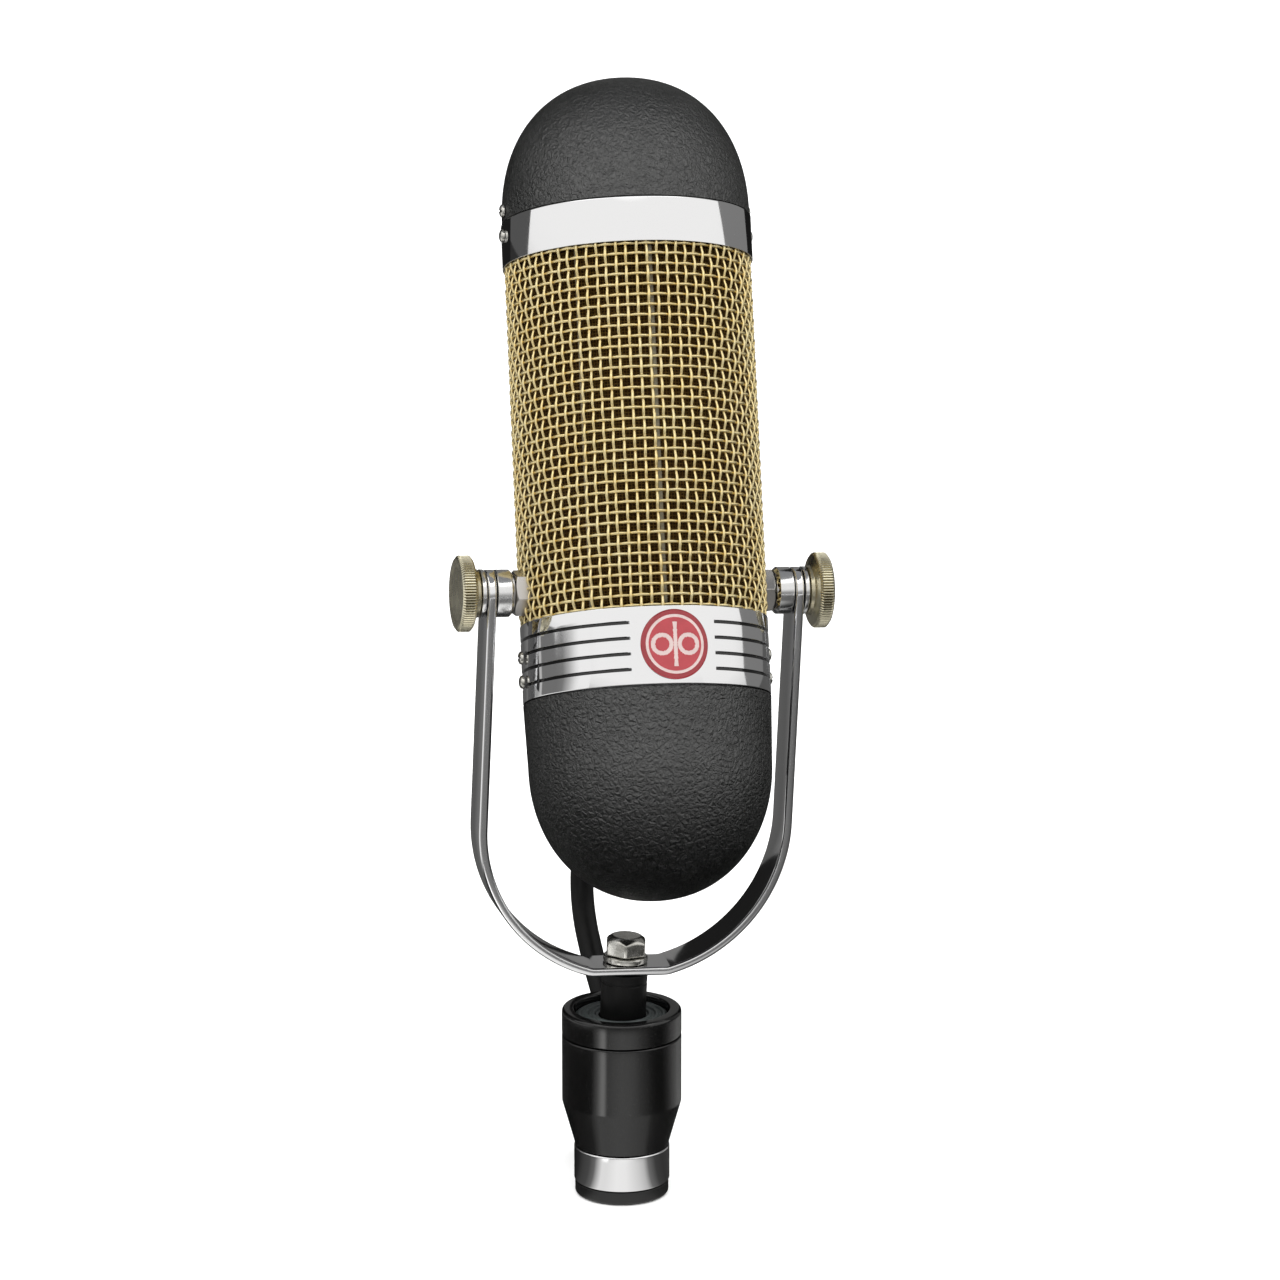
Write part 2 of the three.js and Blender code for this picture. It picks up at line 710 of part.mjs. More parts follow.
function addRibbonMotor() {
  const low = ribbonCentre - ribbonLength / 2;
  const high = ribbonCentre + ribbonLength / 2;
  const steps = Math.round(ribbonLength / ribbonPitch) * 2;
  const wave = 0.5;
  const foil = 0.2;
  const zig = (offset) =>
    Array.from({ length: steps + 1 }, (_, i) => [
      (i % 2 ? wave : -wave) + offset,
      low + (ribbonLength * i) / steps,
    ]);
  const strip = shapeOf([...zig(-foil), ...zig(foil).reverse()]);
  const geometry = new THREE.ExtrudeGeometry(strip, { depth: ribbonWidth, bevelEnabled: false });
  geometry.rotateX(Math.PI / 2).rotateZ(Math.PI / 2).translate(-ribbonWidth / 2, 0, 0);
  add(head, 'ribbon', solidOf(geometry), materials.aluminium);

  const clampHalf = ribbonWidth / 2 + 0.3;
  const poleInner = ribbonWidth / 2 + gap * 2;
  const poleOuter = poleInner + poleWidth;
  const magnetInner = poleOuter + gap;
  const motorLow = low - clampHeight - gap;
  const motorHigh = high + clampHeight + gap;
  const clamps = [['lower', motorLow, low - gap], ['upper', high + gap, motorHigh]];
  for (const [name, from, to] of clamps) {
    add(head, `${name}_ribbon_clamp`, block([-clampHalf, clampHalf], [-4, 4], [from, to]), materials.brass);
  }
  for (const [name, sign] of [['right', 1], ['left', -1]]) {
    // pole pieces taper towards the ribbon
    const section = [
      [sign * poleInner, -poleDepth / 4],
      [sign * poleOuter, -poleDepth / 2],
      [sign * poleOuter, poleDepth / 2],
      [sign * poleInner, poleDepth / 4],
    ];
    const depth = motorHigh - motorLow;
    const pole = new THREE.ExtrudeGeometry(shapeOf(section), { depth, bevelEnabled: false });
    add(head, `${name}_pole_piece`, solidOf(pole.translate(0, 0, motorLow)), materials.steel);
    const xs = [sign * magnetInner, sign * (magnetInner + magnetWidth)].sort((a, b) => a - b);
    const magnet = block(xs, [-magnetDepth / 2, magnetDepth / 2], [motorLow, motorHigh]);
    add(head, `${name}_magnet`, magnet, materials.magnet);
  }
  const plates = [
    ['lower', motorLow - gap - railThickness, motorLow - gap],
    ['upper', motorHigh + gap, motorHigh + gap + railThickness],
  ];
  for (const [name, from, to] of plates) {
    const plate = block([-motorPlateHalf, motorPlateHalf], [-magnetDepth / 2, magnetDepth / 2], [from, to]);
    add(head, `${name}_motor_plate`, plate, materials.aluminium);
  }
}

function addElectronics() {
  const [length, width, thickness] = boardSize;
  const boardTop = bottomFrameLow - 2;
  const boardLow = boardTop - thickness;
  const board = block([-length / 2, length / 2], [-width / 2, width / 2], [boardLow, boardTop]);
  add(head, 'circuit_board', board, materials.board);
  const canTop = boardLow - gap;
  add(head, 'transformer', disc(transformerRadius, canTop - transformerHeight, canTop, 24), materials.steel);
  const capacitorLow = boardTop + gap;
  const capacitor = barX(capacitorRadius, -capacitorLength / 2, capacitorLength / 2, 0, 16);
  add(head, 'capacitor', capacitor.translate([0, 0, capacitorLow + capacitorRadius]), materials.plastic);
}

// ---------------------------------------------------------------- lead and connector

function addLead() {
  // tapered strain relief square to the head's rear
  const seat = lowerDomeRadius + gap;
  const gland = turned([
    [0, seat - 4],
    [4.9, seat - 4],
    [4.9, seat + 0.3],
    [6.4, seat + 0.3],
    [6.4, seat + 2],
    [5.3, seat + 2.6],
    [leadRadius + 0.7, seat + glandLength],
    [0, seat + glandLength],
  ]);
  add(head, 'gland', gland.rotate([-90, 0, 0]).translate([0, 0, glandHeight]), materials.rubber);

  // the lead leaves along the gland's own axis
  microphone.updateMatrixWorld(true);
  const leaving = [0, 2, 5].map((out) =>
    head.localToWorld(new THREE.Vector3(0, seat + glandLength + gap + out, glandHeight)));
  const bootTop = connectorTop + connectorBootLength;
  const arriving = [3, 1.5, 0].map((up) => new THREE.Vector3(connectorX, connectorY, bootTop + gap + up));
  const points = [...leaving, ...leadRoute.map((p) => new THREE.Vector3(...p)), ...arriving];
  const route = new THREE.CatmullRomCurve3(points, false, 'centripetal');
  const section = shapeOf(arc(0, 0, leadRadius, 0, 2 * Math.PI, 10).slice(0, -1));
  const tube = new THREE.ExtrudeGeometry(section, { steps: 20, extrudePath: route, bevelEnabled: false });
  add(microphone, 'lead', solidOf(tube), materials.lead);
}

function addConnector() {
  const holder = new THREE.Group();
  holder.position.set(connectorX, connectorY, 0);
  microphone.add(holder);
  const inner = connectorRadius - connectorWall;
  const shell = turned([
    [inner, connectorBottom],
    [connectorRadius, connectorBottom],
    [connectorRadius, connectorTop - 1.5],
    [connectorRadius - 1.5, connectorTop],
    [3.6, connectorTop],
    [3.6, connectorTop - 2],
    [inner, connectorTop - 2],
  ]);
  add(holder, 'connector_shell', shell, materials.satinBlack);
  const insertTop = connectorTop - 2 - gap;
  const insertLow = connectorBottom + 13;
  const pinRadius = 1.2;
  const pinCircle = 4.2;
  const pins = [0, 1, 2].map((i) => {
    const angle = Math.PI / 2 + (i * 2 * Math.PI) / 3;
    return disc(pinRadius, connectorBottom + 2, insertLow + 1, 12)
      .translate([pinCircle * Math.cos(angle), pinCircle * Math.sin(angle), 0]);
  });
  const insulator = disc(inner - gap, insertLow, insertTop, 24);
  add(holder, 'connector_insert', pins.reduce((a, b) => a.add(b), insulator), materials.plastic);
  const bootTop = connectorTop + connectorBootLength;
  const boot = turned([
    [0, connectorTop + gap],
    [connectorRadius - 2.2, connectorTop + gap],
    [connectorRadius - 3, connectorTop + 4],
    [leadRadius + 0.6, bootTop],
    [0, bootTop],
  ]);
  add(holder, 'connector_boot', boot, materials.rubber);

  // spring clip: an open ring round the shell on a bracket screwed to the adapter's back
  const clipInner = connectorRadius + gap;
  const clipHigh = clipLow + clipHeight;
  const back = adapterRadius + gap - connectorY;
  const sides = [-clipHalfWidth, clipHalfWidth];
  const hoop = ring(clipInner, clipInner + clipWall, clipLow, clipHigh, 32);
  const mouth = block(sides, [clipInner - 4, clipInner + clipWall + 1], [clipLow - 1, clipHigh + 1]);
  const arm = block(sides, [back - 1, -clipInner + 1], [clipLow, clipHigh]);
  const plate = block(sides, [back - 1, back + 2.4], [clipLow, clipScrewHeight + 5]);
  const cuts = [
    disc(clipInner, clipLow - 1, clipHigh + 1, 32),
    disc(adapterRadius + gap, 0, adapterTop, 48).translate([-connectorX, -connectorY, 0]),
    barY(clipScrewShank + gap, back - 3, back + 3, 0, clipScrewHeight, 12),
  ];
  const clip = hoop.subtract(mouth).add(cutAll(arm.add(plate), cuts));
  add(holder, 'connector_clip', clip, materials.satinBlack);
  const seatY = back + 2.4 + gap;
  const screw = barY(clipScrewShank, back - 3, seatY + 0.5, 0, clipScrewHeight, 12)
    .add(barY(clipScrewHead, seatY, seatY + 1.6, 0, clipScrewHeight, 16));
  add(holder, 'clip_screw', screw, materials.steel);
}

addCoupling();
addAdapter();
addFork();
addStack('right', 0, 0.1);
addStack('left', Math.PI, Math.PI / 6 + 0.1);
addTopShell();
addLowerShell();
addGrille();
addTrimScrews();
addChassis();
addRibbonMotor();
addElectronics();
addLead();
addConnector();

export default microphone;
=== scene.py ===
import json
from math import atan2, cos, hypot, pi, radians, sin, sqrt, tan

import bmesh
import bpy
import numpy as np
from mathutils import Matrix, Vector

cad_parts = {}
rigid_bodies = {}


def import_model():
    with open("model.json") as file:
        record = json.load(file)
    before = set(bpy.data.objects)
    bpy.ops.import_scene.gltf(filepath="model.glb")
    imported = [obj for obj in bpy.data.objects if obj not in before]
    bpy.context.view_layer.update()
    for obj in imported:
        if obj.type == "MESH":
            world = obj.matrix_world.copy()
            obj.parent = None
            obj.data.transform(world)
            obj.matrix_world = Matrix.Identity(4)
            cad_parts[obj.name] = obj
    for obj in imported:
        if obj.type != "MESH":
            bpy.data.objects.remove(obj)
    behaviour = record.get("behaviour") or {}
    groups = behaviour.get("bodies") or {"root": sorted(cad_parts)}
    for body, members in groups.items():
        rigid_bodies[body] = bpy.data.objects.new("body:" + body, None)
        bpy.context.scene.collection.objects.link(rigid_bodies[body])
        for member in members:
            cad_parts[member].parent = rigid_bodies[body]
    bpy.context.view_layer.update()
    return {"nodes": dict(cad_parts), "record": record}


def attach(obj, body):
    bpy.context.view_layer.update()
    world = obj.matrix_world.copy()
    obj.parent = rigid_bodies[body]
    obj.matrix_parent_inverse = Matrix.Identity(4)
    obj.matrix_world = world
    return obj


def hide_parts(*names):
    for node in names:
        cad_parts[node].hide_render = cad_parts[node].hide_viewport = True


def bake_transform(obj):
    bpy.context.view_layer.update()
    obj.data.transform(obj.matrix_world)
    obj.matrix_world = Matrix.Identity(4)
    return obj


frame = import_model()

MM = 0.001
GAP = 0.3  # mm between two pieces that touch


def clamp(t):
    return min(1.0, max(0.0, t))


def ease(t):
    """Goes smoothly from 0 to 1 as t does, and stays there."""
    t = clamp(t)
    return t * t * (3 - 2 * t)


# ---------------- how the microphone stands

LEAN = radians(2.65)  # the fork leans in the rubber isolator
TILT = radians(22)  # the head is tipped back
LEAN_HEIGHT = 43.6 * MM  # where the lean pivots, in the rubber
PIVOT_HEIGHT = 167.6 * MM
UPRIGHT = Matrix.Identity(4)
FORK = (
    Matrix.Translation((0, 0, LEAN_HEIGHT))
    @ Matrix.Rotation(LEAN, 4, "Y")
    @ Matrix.Translation((0, 0, -LEAN_HEIGHT))
)
HEAD = FORK @ Matrix.Translation((0, 0, PIVOT_HEIGHT)) @ Matrix.Rotation(-TILT, 4, "X")

# ---------------- camera

CAMERA_AZIMUTH = radians(-13.3)
CAMERA_ELEVATION = radians(14.4)
CAMERA_DISTANCE = 1.5
CAMERA_LENS = 158.8  # mm on a 36 mm sensor
CAMERA_TARGET = Vector((4.82 * MM, -1.14 * MM, 154.6 * MM))


def away_from(elevation, azimuth=CAMERA_AZIMUTH):
    """The direction from the microphone to something seen at these angles."""
    return Vector((sin(azimuth) * cos(elevation), -cos(azimuth) * cos(elevation), sin(elevation)))


TO_CAMERA = away_from(CAMERA_ELEVATION)


def make_camera():
    data = bpy.data.cameras.new("camera")
    data.lens = CAMERA_LENS
    data.sensor_width = 36
    data.clip_start = 0.05
    data.clip_end = 50
    camera = bpy.data.objects.new("camera", data)
    bpy.context.scene.collection.objects.link(camera)
    camera.location = CAMERA_TARGET + TO_CAMERA * CAMERA_DISTANCE
    camera.rotation_mode = "QUATERNION"
    camera.rotation_quaternion = (-TO_CAMERA).to_track_quat("-Z", "Y")
    bpy.context.scene.camera = camera


make_camera()

# ---------------- materials


class Shader:
    """A principled material and short ways to build the nodes that feed it."""

    def __init__(self, name, color, roughness, metallic=0.0, **settings):
        self.material = bpy.data.materials.new(name)
        self.material.use_nodes = True
        self.tree = self.material.node_tree
        self.surface = self.tree.nodes["Principled BSDF"]
        self.surface.inputs["Base Color"].default_value = (*color, 1)
        self.surface.inputs["Roughness"].default_value = roughness
        self.surface.inputs["Metallic"].default_value = metallic
        for key, value in settings.items():
            self.surface.inputs[key.replace("_", " ")].default_value = value
        self.normal = None
        self.where = self.place()

    def node(self, kind, inputs=None, **settings):
        node = self.tree.nodes.new("ShaderNode" + kind)
        for key, value in settings.items():
            setattr(node, key, value)
        for key, value in (inputs or {}).items():
            if isinstance(value, bpy.types.NodeSocket):
                self.tree.links.new(value, node.inputs[key])
            else:
                node.inputs[key].default_value = value
        return node

    def place(self, stretch=(1, 1, 1)):
        """The object's own coordinates, scaled along each axis."""
        source = self.node("TexCoord").outputs["Object"]
        return self.node("Mapping", {"Vector": source, "Scale": stretch}).outputs[0]

    def noise(self, scale, detail=3.0, roughness=0.55, where=None):
        inputs = {"Vector": where or self.where, "Scale": scale, "Detail": detail, "Roughness": roughness}
        return self.node("TexNoise", inputs).outputs[0]

    def ramp(self, value, low, high, at=(0.0, 1.0)):
        """value mapped from between the two places in at to low..high, numbers or colours."""
        node = self.node("ValToRGB", {"Fac": value})
        stops = node.color_ramp.elements
        for stop, place, shade in zip(stops, at, (low, high)):
            stop.position = place
            stop.color = (*shade, 1) if isinstance(shade, tuple) else (shade, shade, shade, 1)
        return node.outputs[0]

    def math(self, operation, a, b=0.0):
        return self.node("Math", {0: a, 1: b}, operation=operation).outputs[0]

    def blend(self, amount, plain, marked):
        """Goes from one colour to the other as amount goes from 0 to 1."""
        colors = [(*c, 1) if isinstance(c, tuple) else c for c in (plain, marked)]
        return self.node("Mix", {0: amount, 6: colors[0], 7: colors[1]}, data_type="RGBA").outputs[2]

    def bump(self, height, depth, strength=1.0):
        inputs = {"Height": height, "Distance": depth, "Strength": strength}
        if self.normal is not None:
            inputs["Normal"] = self.normal
        self.normal = self.node("Bump", inputs).outputs[0]
        self.link("Normal", self.normal)

    def link(self, socket, value):
        self.tree.links.new(value, self.surface.inputs[socket])

    def vary(self, socket, value, low, high, at=(0.0, 1.0)):
        """Drives a socket of the surface with a ramp."""
        self.link(socket, self.ramp(value, low, high, at))

    def attribute(self, name):
        return self.node("Attribute", attribute_name=name).outputs["Fac"]


def scaled(shade, share):
    return tuple(part * share for part in shade)


def wrinkle_paint():
    """Dark paint with a fine, uneven leather grain that glints on its ridges. Its colour is darker in the
    grain's creases, painted shade.
    """
    shader = Shader("wrinkle_paint", (0.005, 0.0058, 0.0054), 0.42, IOR=2.05)
    bend = shader.node("TexNoise", {"Vector": shader.where, "Scale": 520, "Detail": 3.0}).outputs["Color"]
    shift = shader.node("VectorMath", {0: bend, 1: (0.5, 0.5, 0.5)}, operation="SUBTRACT").outputs[0]
    small = shader.node("VectorMath", {0: shift, "Scale": 0.0024}, operation="SCALE").outputs[0]
    bent = shader.node("VectorMath", {0: shader.where, 1: small}, operation="ADD").outputs[0]

    def pebbles(scale, full):
        cells = shader.node(
            "TexVoronoi", {"Vector": bent, "Scale": scale, "Randomness": 1.0}, feature="DISTANCE_TO_EDGE"
        ).outputs["Distance"]
        return shader.ramp(cells, 0.0, 1.0, (0.0, full))

    coarse, fine = pebbles(640, 0.34), pebbles(1300, 0.4)
    crackle_and_crease_shade = shader.math("ADD", shader.math("MULTIPLY", coarse, 0.7), shader.math("MULTIPLY", fine, 0.3))
    worms = shader.noise(900, 3.0, 0.6, bent)
    shader.bump(shader.noise(300, 2.0), 0.4 * MM, 0.25)
    shader.bump(worms, 0.5 * MM, 0.75)
    shader.bump(crackle_and_crease_shade, 0.3 * MM, 0.8)
    patches = shader.noise(70, 4.0)
    low, high = (0.0015, 0.0019, 0.0017), (0.009, 0.0103, 0.0096)
    # painted shade: the colour is darkest in the creases between the grain's cells
    shader.vary("Base Color", crackle_and_crease_shade, low, high, (0.15, 0.9))
    shader.vary("Roughness", patches, 0.36, 0.5, (0.3, 0.7))
    return shader.material


def chrome(name="chrome", tint=(0.88, 0.88, 0.89), rough=0.05):
    """Plated metal with hairline polishing marks and faint smears, with painted shade in its grooves."""
    shader = Shader(name, tint, rough, 1.0)
    # painted shade: near black where the cavity attribute marks a groove
    hollow = shader.ramp(shader.attribute("cavity"), 0.0, 1.0)
    shader.link("Base Color", shader.blend(hollow, tint, (0.06, 0.06, 0.06)))
    smears = shader.noise(45, 5.0, 0.6)
    shader.vary("Roughness", smears, rough * 0.6, rough * 1.9, (0.35, 0.75))
    hairlines = shader.noise(900, 2.0, where=shader.place((1, 1, 14)))
    shader.bump(hairlines, 0.004 * MM, 0.25)
    shader.bump(shader.noise(70, 1.0), 0.03 * MM, 0.18)
    return shader.material


def nickel():
    """Warm worn nickel, darker in the hollows marked by the cavity attribute: painted shade."""
    shader = Shader("nickel", (0.86, 0.80, 0.60), 0.26, 1.0)
    wear = shader.noise(260, 4.0, 0.6)
    clean = shader.ramp(wear, (0.76, 0.71, 0.52), (0.94, 0.89, 0.69), (0.3, 0.7))
    # painted shade in the knob's hollows
    hollow_shade = shader.ramp(shader.attribute("cavity"), 0.0, 1.0, (0.1, 0.9))
    shader.link("Base Color", shader.blend(hollow_shade, clean, (0.22, 0.18, 0.10)))
    shader.vary("Roughness", wear, 0.22, 0.36, (0.3, 0.75))
    shader.bump(shader.noise(1600, 2.0), 0.01 * MM, 0.2)
    return shader.material


def bright_nickel():
    """Cleaner nickel for the bolt, washer and small screws."""
    shader = Shader("bright_nickel", (0.66, 0.65, 0.61), 0.2, 1.0)
    wear = shader.noise(420, 5.0, 0.65)
    shader.vary("Base Color", wear, (0.45, 0.44, 0.40), (0.74, 0.73, 0.69), (0.3, 0.65))
    shader.vary("Roughness", wear, 0.14, 0.36, (0.3, 0.75))
    shader.bump(shader.noise(1800, 3.0), 0.02 * MM, 0.25)
    return shader.material


def brass_wire():
    """Pale gold woven wire, a little darker in the weave's hollows: painted shade."""
    shader = Shader("brass_wire", (0.95, 0.77, 0.38), 0.42, 1.0)
    age = shader.noise(110, 4.0, 0.6)
    fresh = shader.ramp(age, (0.94, 0.75, 0.36), (0.98, 0.86, 0.52), (0.3, 0.7))
    # painted shade where the wires dip into the weave
    hollow = shader.ramp(shader.attribute("cavity"), 0.0, 1.0, (0.2, 1.0))
    shader.link("Base Color", shader.blend(hollow, fresh, (0.68, 0.48, 0.16)))
    shader.vary("Roughness", age, 0.36, 0.48, (0.3, 0.7))
    shader.bump(shader.noise(2400, 2.0), 0.02 * MM, 0.3)
    return shader.material


FINE_PITCH = 0.86 * MM
SEAMS = (125.2 * MM, 145.1 * MM)  # where the gauze is folded, measured round it from the right
SEAM_HALF = 0.5 * MM


def fine_screen():
    """Dark fine gauze: thin crossing wires over painted brown shadow, with a paler painted highlight at its
    two folds.
    """
    shader = Shader("fine_screen", (0.02, 0.014, 0.008), 0.6, Specular_IOR_Level=0.08)
    flat = shader.node("SeparateXYZ", {0: shader.node("UVMap").outputs[0]})

    def wires(axis):
        turns = shader.math("MULTIPLY", flat.outputs[axis], 1.0 / FINE_PITCH)
        wave = shader.math("PINGPONG", turns, 0.5)
        return shader.ramp(wave, 1.0, 0.0, (0.1, 0.2))

    def fold_highlight(at):
        off = shader.math("ABSOLUTE", shader.math("SUBTRACT", flat.outputs[0], at))
        return shader.ramp(shader.math("MULTIPLY", off, 0.5 / SEAM_HALF), 1.0, 0.0, (0.35, 0.6))

    both = shader.math("MAXIMUM", wires(0), wires(1))
    grime = shader.noise(160, 4.0)
    wire = shader.ramp(grime, (0.065, 0.034, 0.005), (0.13, 0.078, 0.018), (0.3, 0.7))
    # painted shadow: the brown between the wires
    gauze = shader.blend(both, (0.028, 0.011, 0.0008), wire)
    # painted highlight along the two folds
    fold_highlights = shader.math("MAXIMUM", fold_highlight(SEAMS[0]), fold_highlight(SEAMS[1]))
    shader.link("Base Color", shader.blend(fold_highlights, gauze, (0.36, 0.33, 0.25)))
    shader.bump(both, 0.12 * MM, 0.6)
    return shader.material


def gloss_black():
    """Deep black lacquered plating of the adapter, with a little dust."""
    shader = Shader("gloss_black", (0.004, 0.004, 0.004), 0.09, Specular_IOR_Level=0.6)
    smears = shader.noise(60, 5.0, 0.65)
    shader.vary("Roughness", smears, 0.07, 0.15, (0.35, 0.75))
    shader.bump(shader.noise(90, 1.0), 0.03 * MM, 0.2)
    dust = shader.ramp(shader.noise(3000, 1.0), 0.0, 1.0, (0.68, 0.72))
    shader.vary("Base Color", dust, (0.004, 0.004, 0.004), (0.02, 0.02, 0.019))
    shader.bump(dust, 0.01 * MM, 0.3)
    return shader.material


def satin_black(name="satin_black", shade=0.008, rough=0.38, shine=0.5):
    """Black anodised or painted metal with a fine grain."""
    grey = (shade, shade, shade)
    shader = Shader(name, grey, rough, Specular_IOR_Level=shine)
    patches = shader.noise(120, 4.0)
    shader.vary("Base Color", patches, scaled(grey, 0.7), scaled(grey, 1.4), (0.3, 0.7))
    shader.vary("Roughness", patches, rough * 0.85, rough * 1.2, (0.3, 0.7))
    shader.bump(shader.noise(2200, 2.0), 0.02 * MM, 0.3)
    return shader.material


def rubber(name, shade, rough, shine=0.4):
    """Moulded rubber with a matt bloom."""
    shader = Shader(name, shade, rough, Specular_IOR_Level=shine)
    bloom = shader.noise(130, 5.0, 0.6)
    shader.vary("Base Color", bloom, scaled(shade, 0.7), scaled(shade, 1.35), (0.3, 0.7))
    shader.bump(shader.noise(1500, 3.0), 0.04 * MM, 0.35)
    return shader.material


def enamel(name, shade, rough=0.22, coat=0.6):
    """Fired enamel, very slightly uneven."""
    shader = Shader(name, shade, rough, Coat_Weight=coat, Coat_Roughness=0.06)
    depth = shader.noise(300, 3.0)
    shader.vary("Base Color", depth, scaled(shade, 0.88), shade, (0.3, 0.7))
    shader.bump(shader.noise(500, 2.0), 0.03 * MM, 0.3)
    return shader.material


def plain_metal(name, shade, rough):
    """Machined or rolled metal with fine marks along one way."""
    shader = Shader(name, shade, rough, 1.0)
    marks = shader.noise(700, 4.0, 0.6, shader.place((1, 1, 8)))
    shader.vary("Base Color", marks, scaled(shade, 0.8), shade, (0.3, 0.7))
    shader.vary("Roughness", marks, rough * 0.8, rough * 1.3, (0.3, 0.7))
    shader.bump(marks, 0.02 * MM, 0.3)
    return shader.material


def printed_board():
    """Green solder mask with the faint glass weave below it."""
    shader = Shader("printed_board", (0.02, 0.12, 0.05), 0.35, Coat_Weight=0.3)
    weave = shader.noise(900, 2.0)
    shader.vary("Base Color", weave, (0.014, 0.09, 0.04), (0.03, 0.15, 0.07), (0.35, 0.65))
    shader.bump(weave, 0.02 * MM, 0.3)
    return shader.material


LOOKS = {
    "wrinkle_paint": wrinkle_paint(),
    "chrome": chrome(),
    "nickel": nickel(),
    "bright_nickel": bright_nickel(),
    "brass_mesh": brass_wire(),
    "fine_screen": fine_screen(),
    "gloss_black": gloss_black(),
    "satin_black": satin_black(),
    "stem_black": satin_black("stem_black", 0.004, 0.42, 0.2),
    "soft_chrome": chrome("soft_chrome", (0.80, 0.80, 0.80), 0.17),
    "boss_nickel": chrome("boss_nickel", (0.55, 0.53, 0.51), 0.24),
    "fork_chrome": chrome("fork_chrome", (0.86, 0.86, 0.87), 0.1),
    "rubber": rubber("rubber", (0.055, 0.06, 0.06), 0.62),
    # a lighter, greener rubber for the isolator: its own tint, lightened as painted light against the shade
    # in the cup
    "lit_isolator_rubber": rubber("lit_isolator_rubber", (0.085, 0.10, 0.10), 0.42),
    "lead_jacket": rubber("lead_jacket", (0.005, 0.005, 0.005), 0.45, 0.22),
    "badge_enamel": enamel("badge_enamel", (0.50, 0.045, 0.06)),
    "badge_rim": enamel("badge_rim", (0.33, 0.02, 0.03)),
    "badge_pale": enamel("badge_pale", (0.80, 0.62, 0.60)),
    "brass": plain_metal("brass", (0.60, 0.42, 0.17), 0.3),
    "aluminium": plain_metal("aluminium", (0.62, 0.63, 0.64), 0.35),
    "magnet": plain_metal("magnet", (0.20, 0.20, 0.22), 0.3),
    "steel": plain_metal("steel", (0.42, 0.43, 0.44), 0.3),
    "board": printed_board(),
    "plastic": satin_black("plastic", 0.02, 0.45),
}

# ---------------- meshes


def turn_outward(mesh, join=None):
    """Points every face outwards, after joining the points that are nearer than join."""
    work = bmesh.new()
    work.from_mesh(mesh)
    if join:
        bmesh.ops.remove_doubles(work, verts=work.verts, dist=join)
    bmesh.ops.recalc_face_normals(work, faces=work.faces)
    work.to_mesh(mesh)
    work.free()


def mesh_object(name, points, faces, material):
    mesh = bpy.data.meshes.new(name)
    mesh.from_pydata([tuple(p) for p in points], [], faces)
    mesh.materials.append(material)
    obj = bpy.data.objects.new(name, mesh)
    bpy.context.scene.collection.objects.link(obj)
    return obj


def add_mesh(name, points, faces, look, matrix=UPRIGHT, sharp=35):
    """Adds an object whose own axes are those of matrix, in the shared frame."""
    obj = mesh_object(name, points, faces, LOOKS[look])
    turn_outward(obj.data)
    obj.matrix_world = matrix
    smooth(obj, sharp)
    return obj


def smooth(obj, sharp=35):
    obj.data.polygons.foreach_set("use_smooth", [True] * len(obj.data.polygons))
    obj.data.set_sharp_from_angle(angle=radians(sharp))


def stand_for(obj, body, nodes=()):
    """Rides the body and hides the CAD nodes it details."""
    obj.data.transform(obj.matrix_world)
    obj.matrix_world = UPRIGHT
    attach(obj, body)
    if nodes:
        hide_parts(*nodes)
    return obj


def turned(name, outline, look, body, node, place=UPRIGHT, segments=96, slot=None, **more):
    """A lathed piece that stands for one CAD node. The slot argument is not used."""
    return stand_for(lathe(name, outline, look, place, segments, **more), body, [node])


def mark_cavity(obj, amount):
    """amount(point) is 0 on the outside and 1 in a hollow, where the materials paint shade."""
    layer = obj.data.attributes.new("cavity", "FLOAT", "POINT")
    layer.data.foreach_set("value", [amount(v.co) for v in obj.data.vertices])


def bevel(obj, width, segments=2, angle=35):
    modifier = obj.modifiers.new("edges", "BEVEL")
    modifier.width = width
    modifier.segments = segments
    modifier.limit_method = "ANGLE"
    modifier.angle_limit = radians(angle)
    modifier.harden_normals = False
    return obj


def rounded(corners, steps=4):
    """Points of a closed outline. A corner may carry a third number, the radius it is rounded to."""
    outline = []
    count = len(corners)
    for i, corner in enumerate(corners):
        here = Vector(corner[:2])
        radius = corner[2] if len(corner) > 2 else 0
        before = Vector(corners[i - 1][:2]) - here
        after = Vector(corners[(i + 1) % count][:2]) - here
        if not radius:
            outline.append(tuple(here))
            continue
        opening = before.angle(after)
        reach = min(radius / tan(opening / 2), 0.49 * before.length, 0.49 * after.length)
        start = here + before.normalized() * reach
        end = here + after.normalized() * reach
        for k in range(steps + 1):
            t = k / steps
            outline.append(tuple(start * (1 - t) ** 2 + here * 2 * t * (1 - t) + end * t**2))
    return outline


def grid_faces(rows, columns, wrap_rows, wrap_columns):
    faces = []
    for i in range(rows if wrap_rows else rows - 1):
        for j in range(columns if wrap_columns else columns - 1):
            i2, j2 = (i + 1) % rows, (j + 1) % columns
            faces.append((i * columns + j, i * columns + j2, i2 * columns + j2, i2 * columns + j))
    return faces


